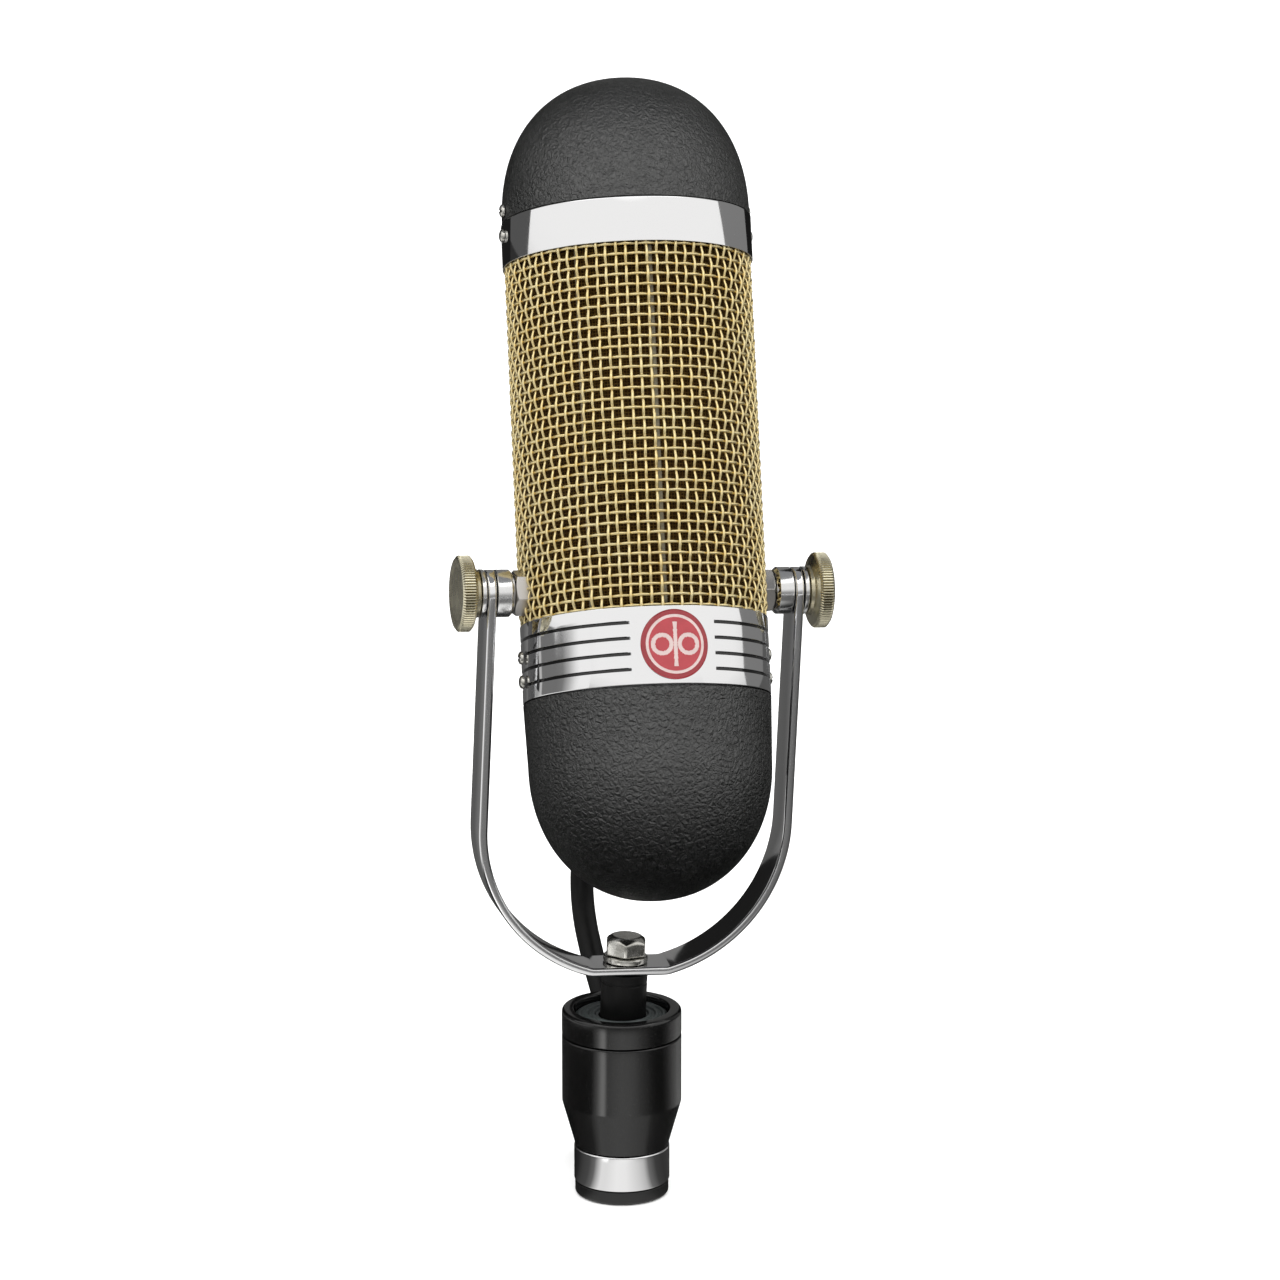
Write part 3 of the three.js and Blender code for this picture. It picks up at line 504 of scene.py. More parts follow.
def lathe(name, outline, look, matrix=UPRIGHT, segments=96, sharp=35, shape=None):
    """Turns a closed outline of (radius, height) in millimetres about the local Z axis.
    shape(radius, height, angle) may move a point of it."""
    shape = shape or (lambda r, z, a: (r, z))
    points, rings = [], []
    for r, z in outline:
        if r < 1e-6:
            rings.append([len(points)] * segments)
            points.append((0, 0, z * MM))
            continue
        rings.append(list(range(len(points), len(points) + segments)))
        for j in range(segments):
            angle = 2 * pi * j / segments
            r2, z2 = shape(r, z, angle)
            points.append((r2 * cos(angle) * MM, r2 * sin(angle) * MM, z2 * MM))
    faces = []
    for i, ring in enumerate(rings):
        following = rings[(i + 1) % len(rings)]
        for j in range(segments):
            k = (j + 1) % segments
            corners = list(dict.fromkeys((ring[j], ring[k], following[k], following[j])))
            if len(corners) > 2:
                faces.append(corners)
    return add_mesh(name, points, faces, look, matrix, sharp)


def hexagon(name, across, low, high, bore, look, matrix=UPRIGHT, turn=0.0, chamfer=(1, 1), face=0.97):
    """A hexagonal nut or bolt head in millimetres, with its corners turned off. face is the
    turned face's size compared with the flats."""
    half = across / 2
    flat = half * face
    steps = 72
    points = []
    for j in range(steps):
        angle = 2 * pi * j / steps
        local = (angle + pi / 6) % (pi / 3) - pi / 6
        out = half / cos(local)
        fall = max(0.0, out - flat) * tan(radians(30))
        column = [
            (bore, low), (flat, low), (out, low + fall * chamfer[0]), (out, high - fall * chamfer[1]),
            (flat, high), (bore, high),
        ]
        for r, z in column:
            points.append((r * cos(angle + turn) * MM, r * sin(angle + turn) * MM, z * MM))
    faces = grid_faces(steps, len(column), True, bore > 0)
    obj = add_mesh(name, points, faces, look, matrix, 20)
    if not bore:
        turn_outward(obj.data, 1e-7)
        smooth(obj, 20)
    return obj


def tubes(lines, outward, radius, sides, closed):
    """Points and faces of round wires along lines, an array of lines by points by 3.
    outward holds a direction across each line's points."""
    ahead = np.roll(lines, -1, 1) - np.roll(lines, 1, 1)
    if not closed:
        ahead[:, 0] = lines[:, 1] - lines[:, 0]
        ahead[:, -1] = lines[:, -1] - lines[:, -2]
    ahead /= np.linalg.norm(ahead, axis=2, keepdims=True)
    across = np.cross(ahead, outward)
    across /= np.linalg.norm(across, axis=2, keepdims=True)
    up = np.cross(across, ahead)
    angles = 2 * pi * np.arange(sides) / sides
    ring = (
        up[:, :, None] * np.cos(angles)[None, None, :, None]
        + across[:, :, None] * np.sin(angles)[None, None, :, None]
    )
    points = (lines[:, :, None] + ring * radius).reshape(-1, 3)
    count, length = lines.shape[:2]
    faces = []
    for n in range(count):
        base = n * length * sides
        for a in grid_faces(length, sides, closed, True):
            faces.append(tuple(base + v for v in a))
        if not closed:
            faces.append(tuple(base + k for k in range(sides)))
            last = base + (length - 1) * sides
            faces.append(tuple(last + k for k in range(sides)))
    return points, faces


def cut_with(obj, cutter):
    """Subtracts the cutter and throws it away."""
    modifier = obj.modifiers.new("cut", "BOOLEAN")
    modifier.operation = "DIFFERENCE"
    modifier.solver = "EXACT"
    modifier.object = cutter
    bpy.context.view_layer.update()
    result = bpy.data.meshes.new_from_object(obj.evaluated_get(bpy.context.evaluated_depsgraph_get()))
    obj.modifiers.clear()
    obj.data = result
    bpy.data.objects.remove(cutter)
    smooth(obj)


def block(name, low, high, look, matrix=UPRIGHT):
    xs, ys, zs = zip(low, high)
    points = [(x * MM, y * MM, z * MM) for x in xs for y in ys for z in zs]
    faces = [(0, 1, 3, 2), (4, 6, 7, 5), (0, 4, 5, 1), (2, 3, 7, 6), (0, 2, 6, 4), (1, 5, 7, 3)]
    return add_mesh(name, points, faces, look, matrix)


# ---------------- lead

GLAND_HEIGHT = -46
GLAND_SEAT = 32.6
GLAND_LENGTH = 13
LEAD_RADIUS = 3.25
CONNECTOR = Matrix.Translation((4 * MM, 32 * MM, 0))
CONNECTOR_LOW = 0.5
CONNECTOR_TOP = 24
BOOT_LENGTH = 11


def head_point(x, y, z):
    return HEAD @ Vector((x * MM, y * MM, z * MM))


# where the lead runs between the gland and the boot, in millimetres
LEAD_BEND = [
    (2.4, 34.6, 102.4), (1.9, 39.5, 98.0), (1.5, 43.9, 92.8), (1.1, 47.6, 86.7), (0.8, 50.2, 80.1),
    (0.7, 51.6, 73.4), (0.8, 51.2, 67.0), (1.1, 49.0, 61.0), (1.6, 45.4, 55.6), (2.1, 41.0, 50.6),
    (2.7, 36.9, 46.2), (3.3, 33.7, 42.0),
]


def lead_route():
    tip = GLAND_SEAT + GLAND_LENGTH + GAP
    route = [head_point(0, tip + out, GLAND_HEIGHT) for out in (0, 2, 5)]
    route += [Vector(p) * MM for p in LEAD_BEND]
    boot_top = (CONNECTOR_TOP + BOOT_LENGTH + GAP) * MM
    route += [CONNECTOR @ Vector((0, 0, boot_top + up * MM)) for up in (3, 1.5, 0)]
    return route


def smooth_route(points, per_span=4):
    """Centripetal Catmull-Rom curve through the points."""
    ends = [points[0] * 2 - points[1], *points, points[-1] * 2 - points[-2]]
    route = []
    for a, b, c, d in zip(ends, ends[1:], ends[2:], ends[3:]):
        t1 = sqrt((b - a).length)
        t2 = t1 + sqrt((c - b).length)
        t3 = t2 + sqrt((d - c).length)
        for k in range(per_span):
            t = t1 + (t2 - t1) * k / per_span
            ab = a.lerp(b, t / t1)
            bc = b.lerp(c, (t - t1) / (t2 - t1))
            cd = c.lerp(d, (t - t2) / (t3 - t2))
            route.append(ab.lerp(bc, t / t2).lerp(bc.lerp(cd, (t - t1) / (t3 - t1)), (t - t1) / (t2 - t1)))
    return [*route, points[-1]]


def make_lead():
    route = lead_route()
    fine = smooth_route(route)
    line = np.array([[tuple(p) for p in fine]])
    sideways = np.cross(np.gradient(line[0], axis=0), (1, 0, 0))
    points, faces = tubes(line, sideways[None], LEAD_RADIUS * MM, 20, False)
    lead = add_mesh("lead_jacket", points, faces, "lead_jacket")
    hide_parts("lead")
    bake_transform(lead)


def make_gland():
    seat = GLAND_SEAT
    ribs = []
    for k in range(5):
        along = seat + 3.6 + k * 1.7
        radius = 5.2 - 0.32 * k
        inner = radius - 0.7
        ribs += [(radius, along, 0.2), (radius, along + 0.9, 0.2)]
        ribs += [(inner, along + 0.95), (inner, along + 1.6)]
    outline = rounded([
        (0, seat - 4), (4.9, seat - 4), (4.9, seat + 0.35), (6.4, seat + 0.35, 0.3),
        (6.4, seat + 2.0, 0.6), (5.0, seat + 2.7, 0.3), *ribs, (LEAD_RADIUS + 0.75, seat + 12.2),
        (LEAD_RADIUS + 0.6, seat + GLAND_LENGTH, 0.3), (0, seat + GLAND_LENGTH),
    ])
    place = HEAD @ Matrix.Translation((0, 0, GLAND_HEIGHT * MM)) @ Matrix.Rotation(-pi / 2, 4, "X")
    turned("gland_boot", outline, "rubber", "head", "gland", place, 48)


make_lead()
make_gland()

# ---------------- head shell

GRILLE_RADIUS = 33.1
WIRE_RADIUS = 0.42
WEAVE = 0.35  # how far a wire swings either side of the middle of the cloth
ROWS = 36
WIRES_ROUND = 76
GRILLE_LOW, GRILLE_HIGH = -8.4, 88.1
TOP_BAND = (88.1, 100.0, 33.5)  # its bottom, top and radius
LOWER_BAND = (-28.9, -8.4, 32.9)
DOME_RADIUS, DOME_HEIGHT, DOME_FULLNESS = 33.2, 38.2, 2.25
LOWER_DOME_RADIUS, LOWER_DOME_START, LOWER_DOME_HEIGHT = 32.3, -46, 36.3
LOWER_DOME_FULLNESS = 2.1  # 2 is half an ellipse, more is squarer in the shoulder
WALL = 1.6


def make_grille():
    rng = np.random.default_rng(7)
    middle = GRILLE_RADIUS - WEAVE - WIRE_RADIUS
    low, high = GRILLE_LOW - 1.0, GRILLE_HIGH + 1.0
    first = GRILLE_LOW + 0.4
    pitch = (GRILLE_HIGH - 0.4 - first) / (ROWS - 1)

    def body_radius(z):
        # the cloth draws in a little to go under the lower band
        return middle - 0.62 * (1 - np.clip((z - GRILLE_LOW + 1) / 5, 0, 1)) ** 2

    def drift(amount, phase, turns, t):
        return amount * np.sin(phase + turns * t)

    steps = 4
    z = np.linspace(low, high, int((high - low) / pitch * steps) + 1)
    upright = []
    for j in range(WIRES_ROUND):
        swing = WEAVE * (-1) ** j * np.cos(pi * (z - first) / pitch)
        r = body_radius(z) + swing
        wander = drift(0.10, rng.uniform(0, 7), rng.uniform(0.05, 0.16), z)
        wander += 0.035 * (-1) ** j * np.sin(pi * (z - first) / pitch)
        angle = 2 * pi * j / WIRES_ROUND + (rng.normal(0, 0.05) + wander) / middle
        upright.append(np.stack([r * np.cos(angle), r * np.sin(angle), z], 1))
    round_ = []
    turn = 2 * pi * np.arange(WIRES_ROUND * steps) / (WIRES_ROUND * steps)
    for i in range(ROWS):
        swing = -WEAVE * (-1) ** i * np.cos(turn * WIRES_ROUND / 2)
        height = first + i * pitch + rng.normal(0, 0.04)
        height = height + drift(0.07, rng.uniform(0, 7), rng.integers(2, 6), turn)
        r = body_radius(height) + swing
        round_.append(np.stack([r * np.cos(turn), r * np.sin(turn), height], 1))
    for name, lines, closed in (
        ("grille_upright_wires", np.array(upright), False),
        ("grille_round_wires", np.array(round_), True),
    ):
        outward = lines * (1, 1, 0)
        points, faces = tubes(lines * MM, outward, WIRE_RADIUS * MM, 7, closed)
        wires = add_mesh(name, points, faces, "brass_mesh", HEAD, 60)
        # cavity is 1 where a wire dips into the weave, for the painted shade there
        limit = (middle - 0.1) * MM
        mark_cavity(wires, lambda p: clamp((limit - hypot(p.x, p.y)) / (0.55 * MM)))
        stand_for(wires, "head", ["grille"])


def make_screen():
    radius, low, high, segments = 31.1, -15.4, 92.4, 128
    points, uvs = [], []
    for z in (low, high):
        for j in range(segments + 1):
            angle = 2 * pi * j / segments
            points.append((radius * cos(angle) * MM, radius * sin(angle) * MM, z * MM))
            uvs.append((angle * radius * MM, z * MM))
    faces = grid_faces(2, segments + 1, False, False)
    screen = add_mesh("fine_inner_screen", points, faces, "fine_screen", HEAD)
    layer = screen.data.uv_layers.new(name="flat")
    for loop in screen.data.loops:
        layer.data[loop.index].uv = uvs[loop.vertex_index]
    thick = screen.modifiers.new("thickness", "SOLIDIFY")
    thick.thickness = 0.3 * MM
    thick.offset = -1
    stand_for(screen, "head", ["inner_screen"])


def make_domes():
    top_base = TOP_BAND[1] + GAP
    steps = 40

    def top(r, h, count):
        ring = []
        for k in range(count + 1):
            angle = pi / 2 * k / count
            across, up = max(0, cos(angle)) ** (2 / DOME_FULLNESS), sin(angle) ** (2 / DOME_FULLNESS)
            ring.append((r * across if k < count else 0, top_base + h * up))
        return ring

    outline = top(DOME_RADIUS, DOME_HEIGHT, steps) + top(DOME_RADIUS - WALL, DOME_HEIGHT - WALL, 12)[::-1]
    turned("top_dome_shell", outline, "wrinkle_paint", "head", "top_dome", HEAD, 128)

    def bottom(wall, count):
        ring = []
        for k in range(count + 1):
            down = sin(pi / 2 * k / count)
            drawn_in = (1 - down**LOWER_DOME_FULLNESS) ** (1 / LOWER_DOME_FULLNESS)
            r = LOWER_DOME_RADIUS * drawn_in - wall if k < count else 0
            ring.append((max(0, r), LOWER_DOME_START - (LOWER_DOME_HEIGHT - wall) * down))
        return ring

    edge = LOWER_BAND[0] - GAP
    outline = [(LOWER_BAND[2] - 0.25, edge), (LOWER_BAND[2], edge - 0.25)]
    outline += bottom(0, steps) + bottom(WALL, 12)[::-1] + [(LOWER_BAND[2] - WALL, edge)]
    turned("bottom_dome_shell", outline, "wrinkle_paint", "head", "bottom_dome", HEAD, 128)


PANEL_HALF_ANGLE = radians(20.1)
GROOVE_DEPTH = 0.5
GROOVE_HALF = 0.44
GROOVES = 4
# heights round one groove, in halves of its width: its bottom, its slopes and the flat beside it
GROOVE_ROWS = (-1.7, -1.12, -1.06, -0.9, -0.55, 0.55, 0.9, 1.06, 1.12, 1.7)


def make_bands():
    low, high, r = TOP_BAND
    outline = rounded([
        (r - 0.25, low, 0.1), (r, low, 0.25), (r, high, 0.3), (r - 1.6, high), (r - 1.6, low + 1.6),
        (r - 0.25, low + 1.5),
    ])
    turned("top_band_shell", outline, "chrome", "head", "top_band", HEAD, 160)

    low, high, r = LOWER_BAND
    pitch = (high - low) / (GROOVES + 1)
    centres = [low + pitch * (k + 1) for k in range(GROOVES)]
    outer = [(r, low, 0.25)]
    for centre in centres:
        outer += [(r, centre + row * GROOVE_HALF) for row in GROOVE_ROWS]
    outer.append((r, high, 0.25))

    def grooved(radius, z, angle):
        if abs(radius - r) > 1e-3:
            return radius, z
        from_front = abs((angle + pi / 2 + pi) % (2 * pi) - pi)
        cut = ease((from_front - PANEL_HALF_ANGLE) / radians(1.1))
        nearest = min(abs(z - c) for c in centres) / GROOVE_HALF
        depth = GROOVE_DEPTH * cut * ease((1.05 - nearest) / 0.5)
        return radius - depth, z

    inner = r - WALL
    lip = [(r - 0.3, high, 0.1), (r - 0.3, high - 1.5), (inner, high - 1.6), (inner, low)]
    outline = rounded([*outer, *lip])
    band = lathe("lower_band_shell", outline, "chrome", HEAD, 360, 28, grooved)
    rim = (r - 0.06) * MM
    inside = (r - 1) * MM

    def groove_shade(p):
        away = hypot(p.x, p.y)
        return ease((rim - away) / (0.2 * MM)) if away > inside else 0

    mark_cavity(band, groove_shade)
    stand_for(band, "head", ["lower_band"])


def make_badge():
    """A curved enamel disc: rim, pale ring and the two-sided pickup pattern round a ribbon."""
    low, high, band_radius = LOWER_BAND
    middle = (low + high) / 2
    radius, ring_edge = 9.2, 7.75
    base = band_radius + GAP
    segments = 120

    def is_pale(u, v):
        """True on the ring, on the two lobes' outlines and on the upright ribbon between them."""
        rho, lobe, away = hypot(u, v), 2.4, 3.5
        lobes = min(abs(hypot(u - away, v) - lobe), abs(hypot(u + away, v) - lobe)) - 0.55
        ribbon = max(abs(u) - 0.5, abs(v) - 5.9)
        return 7.1 <= rho <= ring_edge or (rho < 7.1 and min(lobes, ribbon) < 0)

    def height(u, v, rho):
        if rho > radius - 0.3:
            return 0.25 + radius - rho
        return 0.62 if is_pale(u, v) else 0.55

    def place(u, v, out):
        angle = -pi / 2 + u / (base + 0.5)
        r = base + out
        return (r * cos(angle) * MM, r * sin(angle) * MM, (middle + v) * MM)

    step = 0.15
    count = int(radius / step)
    points, faces, kinds, index = [], [], [], {}

    def point(key, u, v, out):
        if key not in index:
            index[key] = len(points)
            points.append(place(u, v, out))
        return index[key]

    radii = [k * step for k in range(count)] + [radius]
    for i in range(len(radii) - 1):
        for j in range(segments):
            corners = []
            for a, b in ((i, j), (i + 1, j), (i + 1, j + 1), (i, j + 1)):
                rho, angle = radii[a], 2 * pi * (b % segments) / segments
                u, v = rho * cos(angle), rho * sin(angle)
                corners.append(point((a, b % segments if a else 0), u, v, height(u, v, rho)))
            corners = list(dict.fromkeys(corners))
            if len(corners) < 3:
                continue
            rho = (radii[i] + radii[i + 1]) / 2
            angle = 2 * pi * (j + 0.5) / segments
            pale = is_pale(rho * cos(angle), rho * sin(angle))
            faces.append(corners)
            kinds.append(2 if pale else int(rho > ring_edge))
    edge = [index[(len(radii) - 1, j)] for j in range(segments)]
    back = []
    for j in range(segments):
        angle = 2 * pi * j / segments
        back.append(len(points))
        points.append(place(radius * cos(angle), radius * sin(angle), -0.05))
    for j in range(segments):
        k = (j + 1) % segments
        faces.append((edge[j], edge[k], back[k], back[j]))
        kinds.append(1)
    centre = len(points)
    points.append(place(0, 0, -0.05))
    for j in range(segments):
        faces.append((back[j], back[(j + 1) % segments], centre))
        kinds.append(1)
    badge = add_mesh("badge_disc", points, faces, "badge_enamel", HEAD, 30)
    for look in ("badge_rim", "badge_pale"):
        badge.data.materials.append(LOOKS[look])
    badge.data.polygons.foreach_set("material_index", kinds)
    stand_for(badge, "head", ["badge"])


TRIM_HEAD = 1.75


def make_trim_screws():
    rows = (("top", (96.1, 102.9), (33.5, 33.2)), ("lower", (-17.3, -23.7), (32.9, 32.9)))
    rng = np.random.default_rng(3)
    for side, turn in (("right", 0.0), ("left", pi)):
        for row, heights, seats in rows:
            for n, (height, seat) in enumerate(zip(heights, seats), 1):
                seat += 0.3 * (row == "lower") + 0.15
                place = (
                    HEAD
                    @ Matrix.Rotation(turn, 4, "Z")
                    @ Matrix.Translation((seat * MM, 0, height * MM))
                    @ Matrix.Rotation(pi / 2, 4, "Y")
                    @ Matrix.Rotation(rng.uniform(0, pi), 4, "Z")
                )
                crown = [(TRIM_HEAD * sin(a), 0.35 + 0.85 * cos(a)) for a in np.linspace(pi / 2, 0, 9)[:-1]]
                outline = [(0, -0.1), (TRIM_HEAD - 0.15, -0.1), (TRIM_HEAD, 0.05), *crown, (0, 1.2)]
                name = f"{row}_trim_screw_{side}_{n}"
                screw = lathe(name, outline, "bright_nickel", place, 40)
                slot = block("slot", (-3, -0.24, 0.72), (3, 0.24, 3), "bright_nickel", place)
                cut_with(screw, slot)
                stand_for(screw, "head", [f"{row}_screw_{side}_{n}"])


make_grille()
make_screen()
make_domes()
make_bands()
make_badge()
make_trim_screws()

# ---------------- thumb screws and their stacks

FORK_HALF = 43
STRAP = 2.4  # the fork's thickness
BOSS_START, BOSS_END, BOSS_ACROSS = 31.0, 35.3, 10.9
SCREW_HOLE = 2.8
SCREW_RADIUS = 2.5
BUSHING_RADIUS = 6.3
WASHER_RADIUS, WASHER_THICKNESS = 6.4, 1.2
KNOB_RADIUS = 10.1
KNURLS = 84
KNURL_DEPTH = 0.42


def make_stack(side, turn, hex_turn):
    """The boss, bushing, washer and thumb screw of one side, from the head outwards."""
    place = HEAD @ Matrix.Rotation(turn, 4, "Z") @ Matrix.Rotation(pi / 2, 4, "Y")
    sleeve, as_placed = ("soft_chrome", "head"), (place, 72, "chrome")
    size = (BOSS_ACROSS, BOSS_START, BOSS_END, SCREW_HOLE)
    boss = hexagon(f"{side}_hex_boss", *size, "boss_nickel", place, hex_turn)
    bevel(boss, 0.12 * MM)
    stand_for(boss, "head", [f"{side}_boss"])
    start, end = BOSS_END + GAP, FORK_HALF - STRAP - GAP
    outline = rounded([
        (SCREW_HOLE, start), (BUSHING_RADIUS - 0.9, start, 0.15),
        (BUSHING_RADIUS, start + 0.9, 0.25), (BUSHING_RADIUS, end, 0.35), (SCREW_HOLE, end),
    ])
    turned(f"{side}_bushing_sleeve", outline, *sleeve, f"{side}_bushing", *as_placed)
    start = FORK_HALF + GAP
    end = start + WASHER_THICKNESS
    edges = [(WASHER_RADIUS, start, 0.3), (WASHER_RADIUS, end, 0.3)]
    outline = rounded([(SCREW_HOLE, start), *edges, (SCREW_HOLE, end)])
    turned(f"{side}_plain_washer", outline, *sleeve, f"{side}_washer", *as_placed)
    make_knob(side, place, end + GAP)


def make_knob(side, place, start):
    knurl, end, screw_end = start + 1.4, start + 5.7, BOSS_END - 2.8
    rim = KNOB_RADIUS
    outline = rounded([
        (0, screw_end), (SCREW_RADIUS, screw_end, 0.3), (SCREW_RADIUS, start), (6.4, start, 0.3),
        (6.6, knurl - 0.3, 0.3), (rim - 0.7, knurl + 0.35, 0.2), (rim, knurl + 0.95),
        (rim, knurl + 1.4), (rim, knurl + 2.2), (rim, end - 1.0), (rim, end - 0.6),
        (rim - 0.75, end, 0.2), (rim - 1.5, end + 0.02), (rim - 3.0, end - 0.18, 0.2),
        (2.6, end + 0.12, 0.2), (0, end + 0.15),
    ], 3)

    def knurled(r, z, angle):
        if r < rim - 0.02:
            return r, z
        tooth = abs((angle * KNURLS / (2 * pi)) % 1 - 0.5) * 2
        return r - KNURL_DEPTH * (1 - ease(tooth * 1.3)), z

    knob = lathe(f"{side}_thumb_screw", outline, "nickel", place, KNURLS * 6, 40, knurled)

    # painted shade: the knurl valleys, the neck by the washer and, a little, the faces near the rim
    def hollow(p):
        r = hypot(p.x, p.y) / MM
        z = p.z / MM
        if r > rim - 0.6 and knurl + 0.8 < z < end - 0.5:
            return clamp((rim - r) / KNURL_DEPTH)
        if start - 0.1 < z < knurl and r < 6.7:
            return 0.5
        return 0.15 if r > rim - 3.2 else 0.0

    mark_cavity(knob, hollow)
    stand_for(knob, f"{side}_knob", [f"{side}_knob"])


make_stack("right", 0.0, 0.1)
make_stack("left", pi, pi / 6 + 0.1)

# ---------------- fork, bolt and stem

FORK_BOTTOM = 62.8
FORK_FLAT_HALF = 10.5
STRAP_WIDTH = 12.6
STRAP_EDGE = 0.75
STEM_RADIUS, STEM_LOW, STEM_NECK = 6.2, 33.7, 39.5
BOLT_ACROSS, BOLT_HEIGHT = 10.4, 5.2


def fork_line():
    """The strap's middle line from one arm's end to the other: x, z and outward direction."""
    middle = FORK_HALF - STRAP / 2
    centre = FORK_BOTTOM + sqrt(FORK_HALF**2 - FORK_FLAT_HALF**2)
    flat = FORK_BOTTOM + STRAP / 2
    reach = sqrt(middle**2 - (centre - flat) ** 2)
    end_angle = atan2(-(centre - flat), reach)
    pivot = PIVOT_HEIGHT / MM
    half = STRAP_WIDTH / 2
    right = [(middle, pivot + half * cos(a), 0.0) for a in np.linspace(0.06, pi / 2, 15)]
    right += [(middle, z, 0.0) for z in np.linspace(pivot - 4, centre, 12)]
    right += [
        (middle * cos(a), centre + middle * sin(a), a) for a in np.linspace(0, end_angle, 40)[1:-1]
    ]
    bend = [
        (reach + 0.9, flat + 0.2, (end_angle * 3 - pi / 2) / 4),
        (reach, flat + 0.03, (end_angle - pi / 2) / 2), (reach - 1.0, flat, -pi / 2),
    ]
    right += bend + [(x, flat, -pi / 2) for x in np.linspace(reach - 2, 0, 5)]
    left = [(-x, z, pi - a) for x, z, a in right[-2::-1]]
    return right + left


def section(half_width, half_thick, edge, steps=4):
    """Rounded rectangle: across the strap, and through its thickness."""
    edge = min(edge, half_width * 0.9, half_thick * 0.9)
    ring = []
    for cx, cy, start in ((1, 1, 0), (-1, 1, 90), (-1, -1, 180), (1, -1, 270)):
        for k in range(steps + 1):
            a = radians(start + 90 * k / steps)
            ring.append(
                (cx * (half_width - edge) + edge * cos(a), cy * (half_thick - edge) + edge * sin(a))
            )
    return ring


def make_fork():
    line = fork_line()
    pivot = PIVOT_HEIGHT / MM
    half = STRAP_WIDTH / 2
    points = []
    for x, z, angle in line:
        rise = max(0.0, z - pivot)
        wide = sqrt(max(half**2 - rise**2, 0.25))
        out = Vector((cos(angle), 0, sin(angle)))
        for across, through in section(wide, STRAP / 2, STRAP_EDGE):
            p = Vector((x, 0, z)) + out * through + Vector((0, across, 0))
            points.append(p * MM)
    sides = len(points) // len(line)
    faces = grid_faces(len(line), sides, False, True)
    faces.append(tuple(range(sides)))
    last = (len(line) - 1) * sides
    faces.append(tuple(last + k for k in range(sides)))
    fork = add_mesh("fork_strap", points, faces, "fork_chrome", FORK, 50)
    stand_for(fork, "mount", ["fork"])


def make_bolt():
    low = FORK_BOTTOM + STRAP + GAP
    top = low + 1.6
    outline = rounded([(3.3, low), (6.0, low, 0.3), (6.0, top, 0.5), (3.3, top)])
    turned("bolt_plain_washer", outline, "bright_nickel", "mount", "bolt_washer", FORK, 72, slot="nickel")
    low = top + GAP
    top = low + BOLT_HEIGHT
    head = hexagon("fork_hex_bolt", BOLT_ACROSS, low, top, 0, "bright_nickel", FORK, -0.23, (0, 1.35), 0.76)
    bevel(head, 0.5 * MM, 4, 12)
    stand_for(head, "mount", ["fork_bolt"])


def make_stem():
    r, top = STEM_RADIUS, FORK_BOTTOM - GAP
    outline = rounded([
        (0, STEM_LOW), (4, STEM_LOW, 0.3), (4, STEM_NECK), (r, STEM_NECK, 0.3), (r, top - 3.2),
        (r - 0.15, top - 3.0), (r - 0.15, top - 2.7), (r, top - 2.5), (r, top, 0.5), (0, top),
    ])
    turned("stem_post", outline, "stem_black", "mount", "stem", FORK, 72, slot="satin_black")


make_fork()
make_bolt()
make_stem()

# ---------------- adapter

ADAPTER_RADIUS = 16.2
ADAPTER_TOP = 52.2
ADAPTER_GROOVE = 45.1
CONE_TOP = 26.2
CONE_BOTTOM_RADIUS = 12.7
CHROME_RING = (3.8, 13.6, 12.95)  # its bottom, top and radius
BASE_RING_RADIUS, INSERT_ROOM = 12.7, 9.5


def make_adapter():
    r = ADAPTER_RADIUS
    top = ADAPTER_GROOVE - 0.15
    low = CHROME_RING[1] + GAP
    body = rounded([
        (10.9, low), (CONE_BOTTOM_RADIUS, low, 0.25), (r, CONE_TOP, 2.5), (r, top, 0.45),
        (14.5, top), (14.5, top - 5), (12.3, top - 5), (12.3, 30), (4.1, 30), (4.1, 27), (10.9, 27),
    ], 6)
    turned("adapter_cup", body, "gloss_black", "mount", "adapter_body", segments=128)
    low = top + GAP
    collar = rounded([
        (12.9, low - 4), (14.2, low - 4), (14.2, low), (r, low, 0.45), (r, ADAPTER_TOP, 1.1),
        (12.9, ADAPTER_TOP, 0.5),
    ], 6)
    turned("adapter_lip", collar, "gloss_black", "mount", "adapter_collar", segments=128)
    low, high, r = CHROME_RING
    ring = rounded([(INSERT_ROOM, low), (r, low, 0.5), (r, high, 0.5), (INSERT_ROOM, high)], 5)
    turned("bright_ring", ring, "chrome", "coupling", "chrome_ring", segments=128)
    r, high = BASE_RING_RADIUS, low - GAP
    base = rounded([(INSERT_ROOM, 0), (r, 0, 0.9), (r, high, 0.25), (INSERT_ROOM, high)], 5)
    turned("black_base_ring", base, "satin_black", "coupling", "base_ring")


def make_isolator():
    outer, top, low = 12.6, 50.2, 41
    ridges = []
    for k in range(3):
        r = outer - 0.5 - k * 1.9
        crest = top + 0.45
        ridges += [(r, top, 0.15), (r - 0.35, crest, 0.25), (r - 0.95, crest, 0.25), (r - 1.3, top, 0.15)]
    outline = rounded([(6.6, low), (outer, low, 0.4), (outer, top, 0.3), *ridges, (6.6, top, 0.4)])
    # the bore follows the leaning stem
    lean = tan(LEAN)
    middle = LEAN_HEIGHT / MM

    def leaning(r, z, angle):
        if r > 6.7:
            return r, z
        return r + (z - middle) * lean * cos(angle), z

    turned("isolator_disc", outline, "lit_isolator_rubber", "mount", "isolator", shape=leaning, slot="rubber")


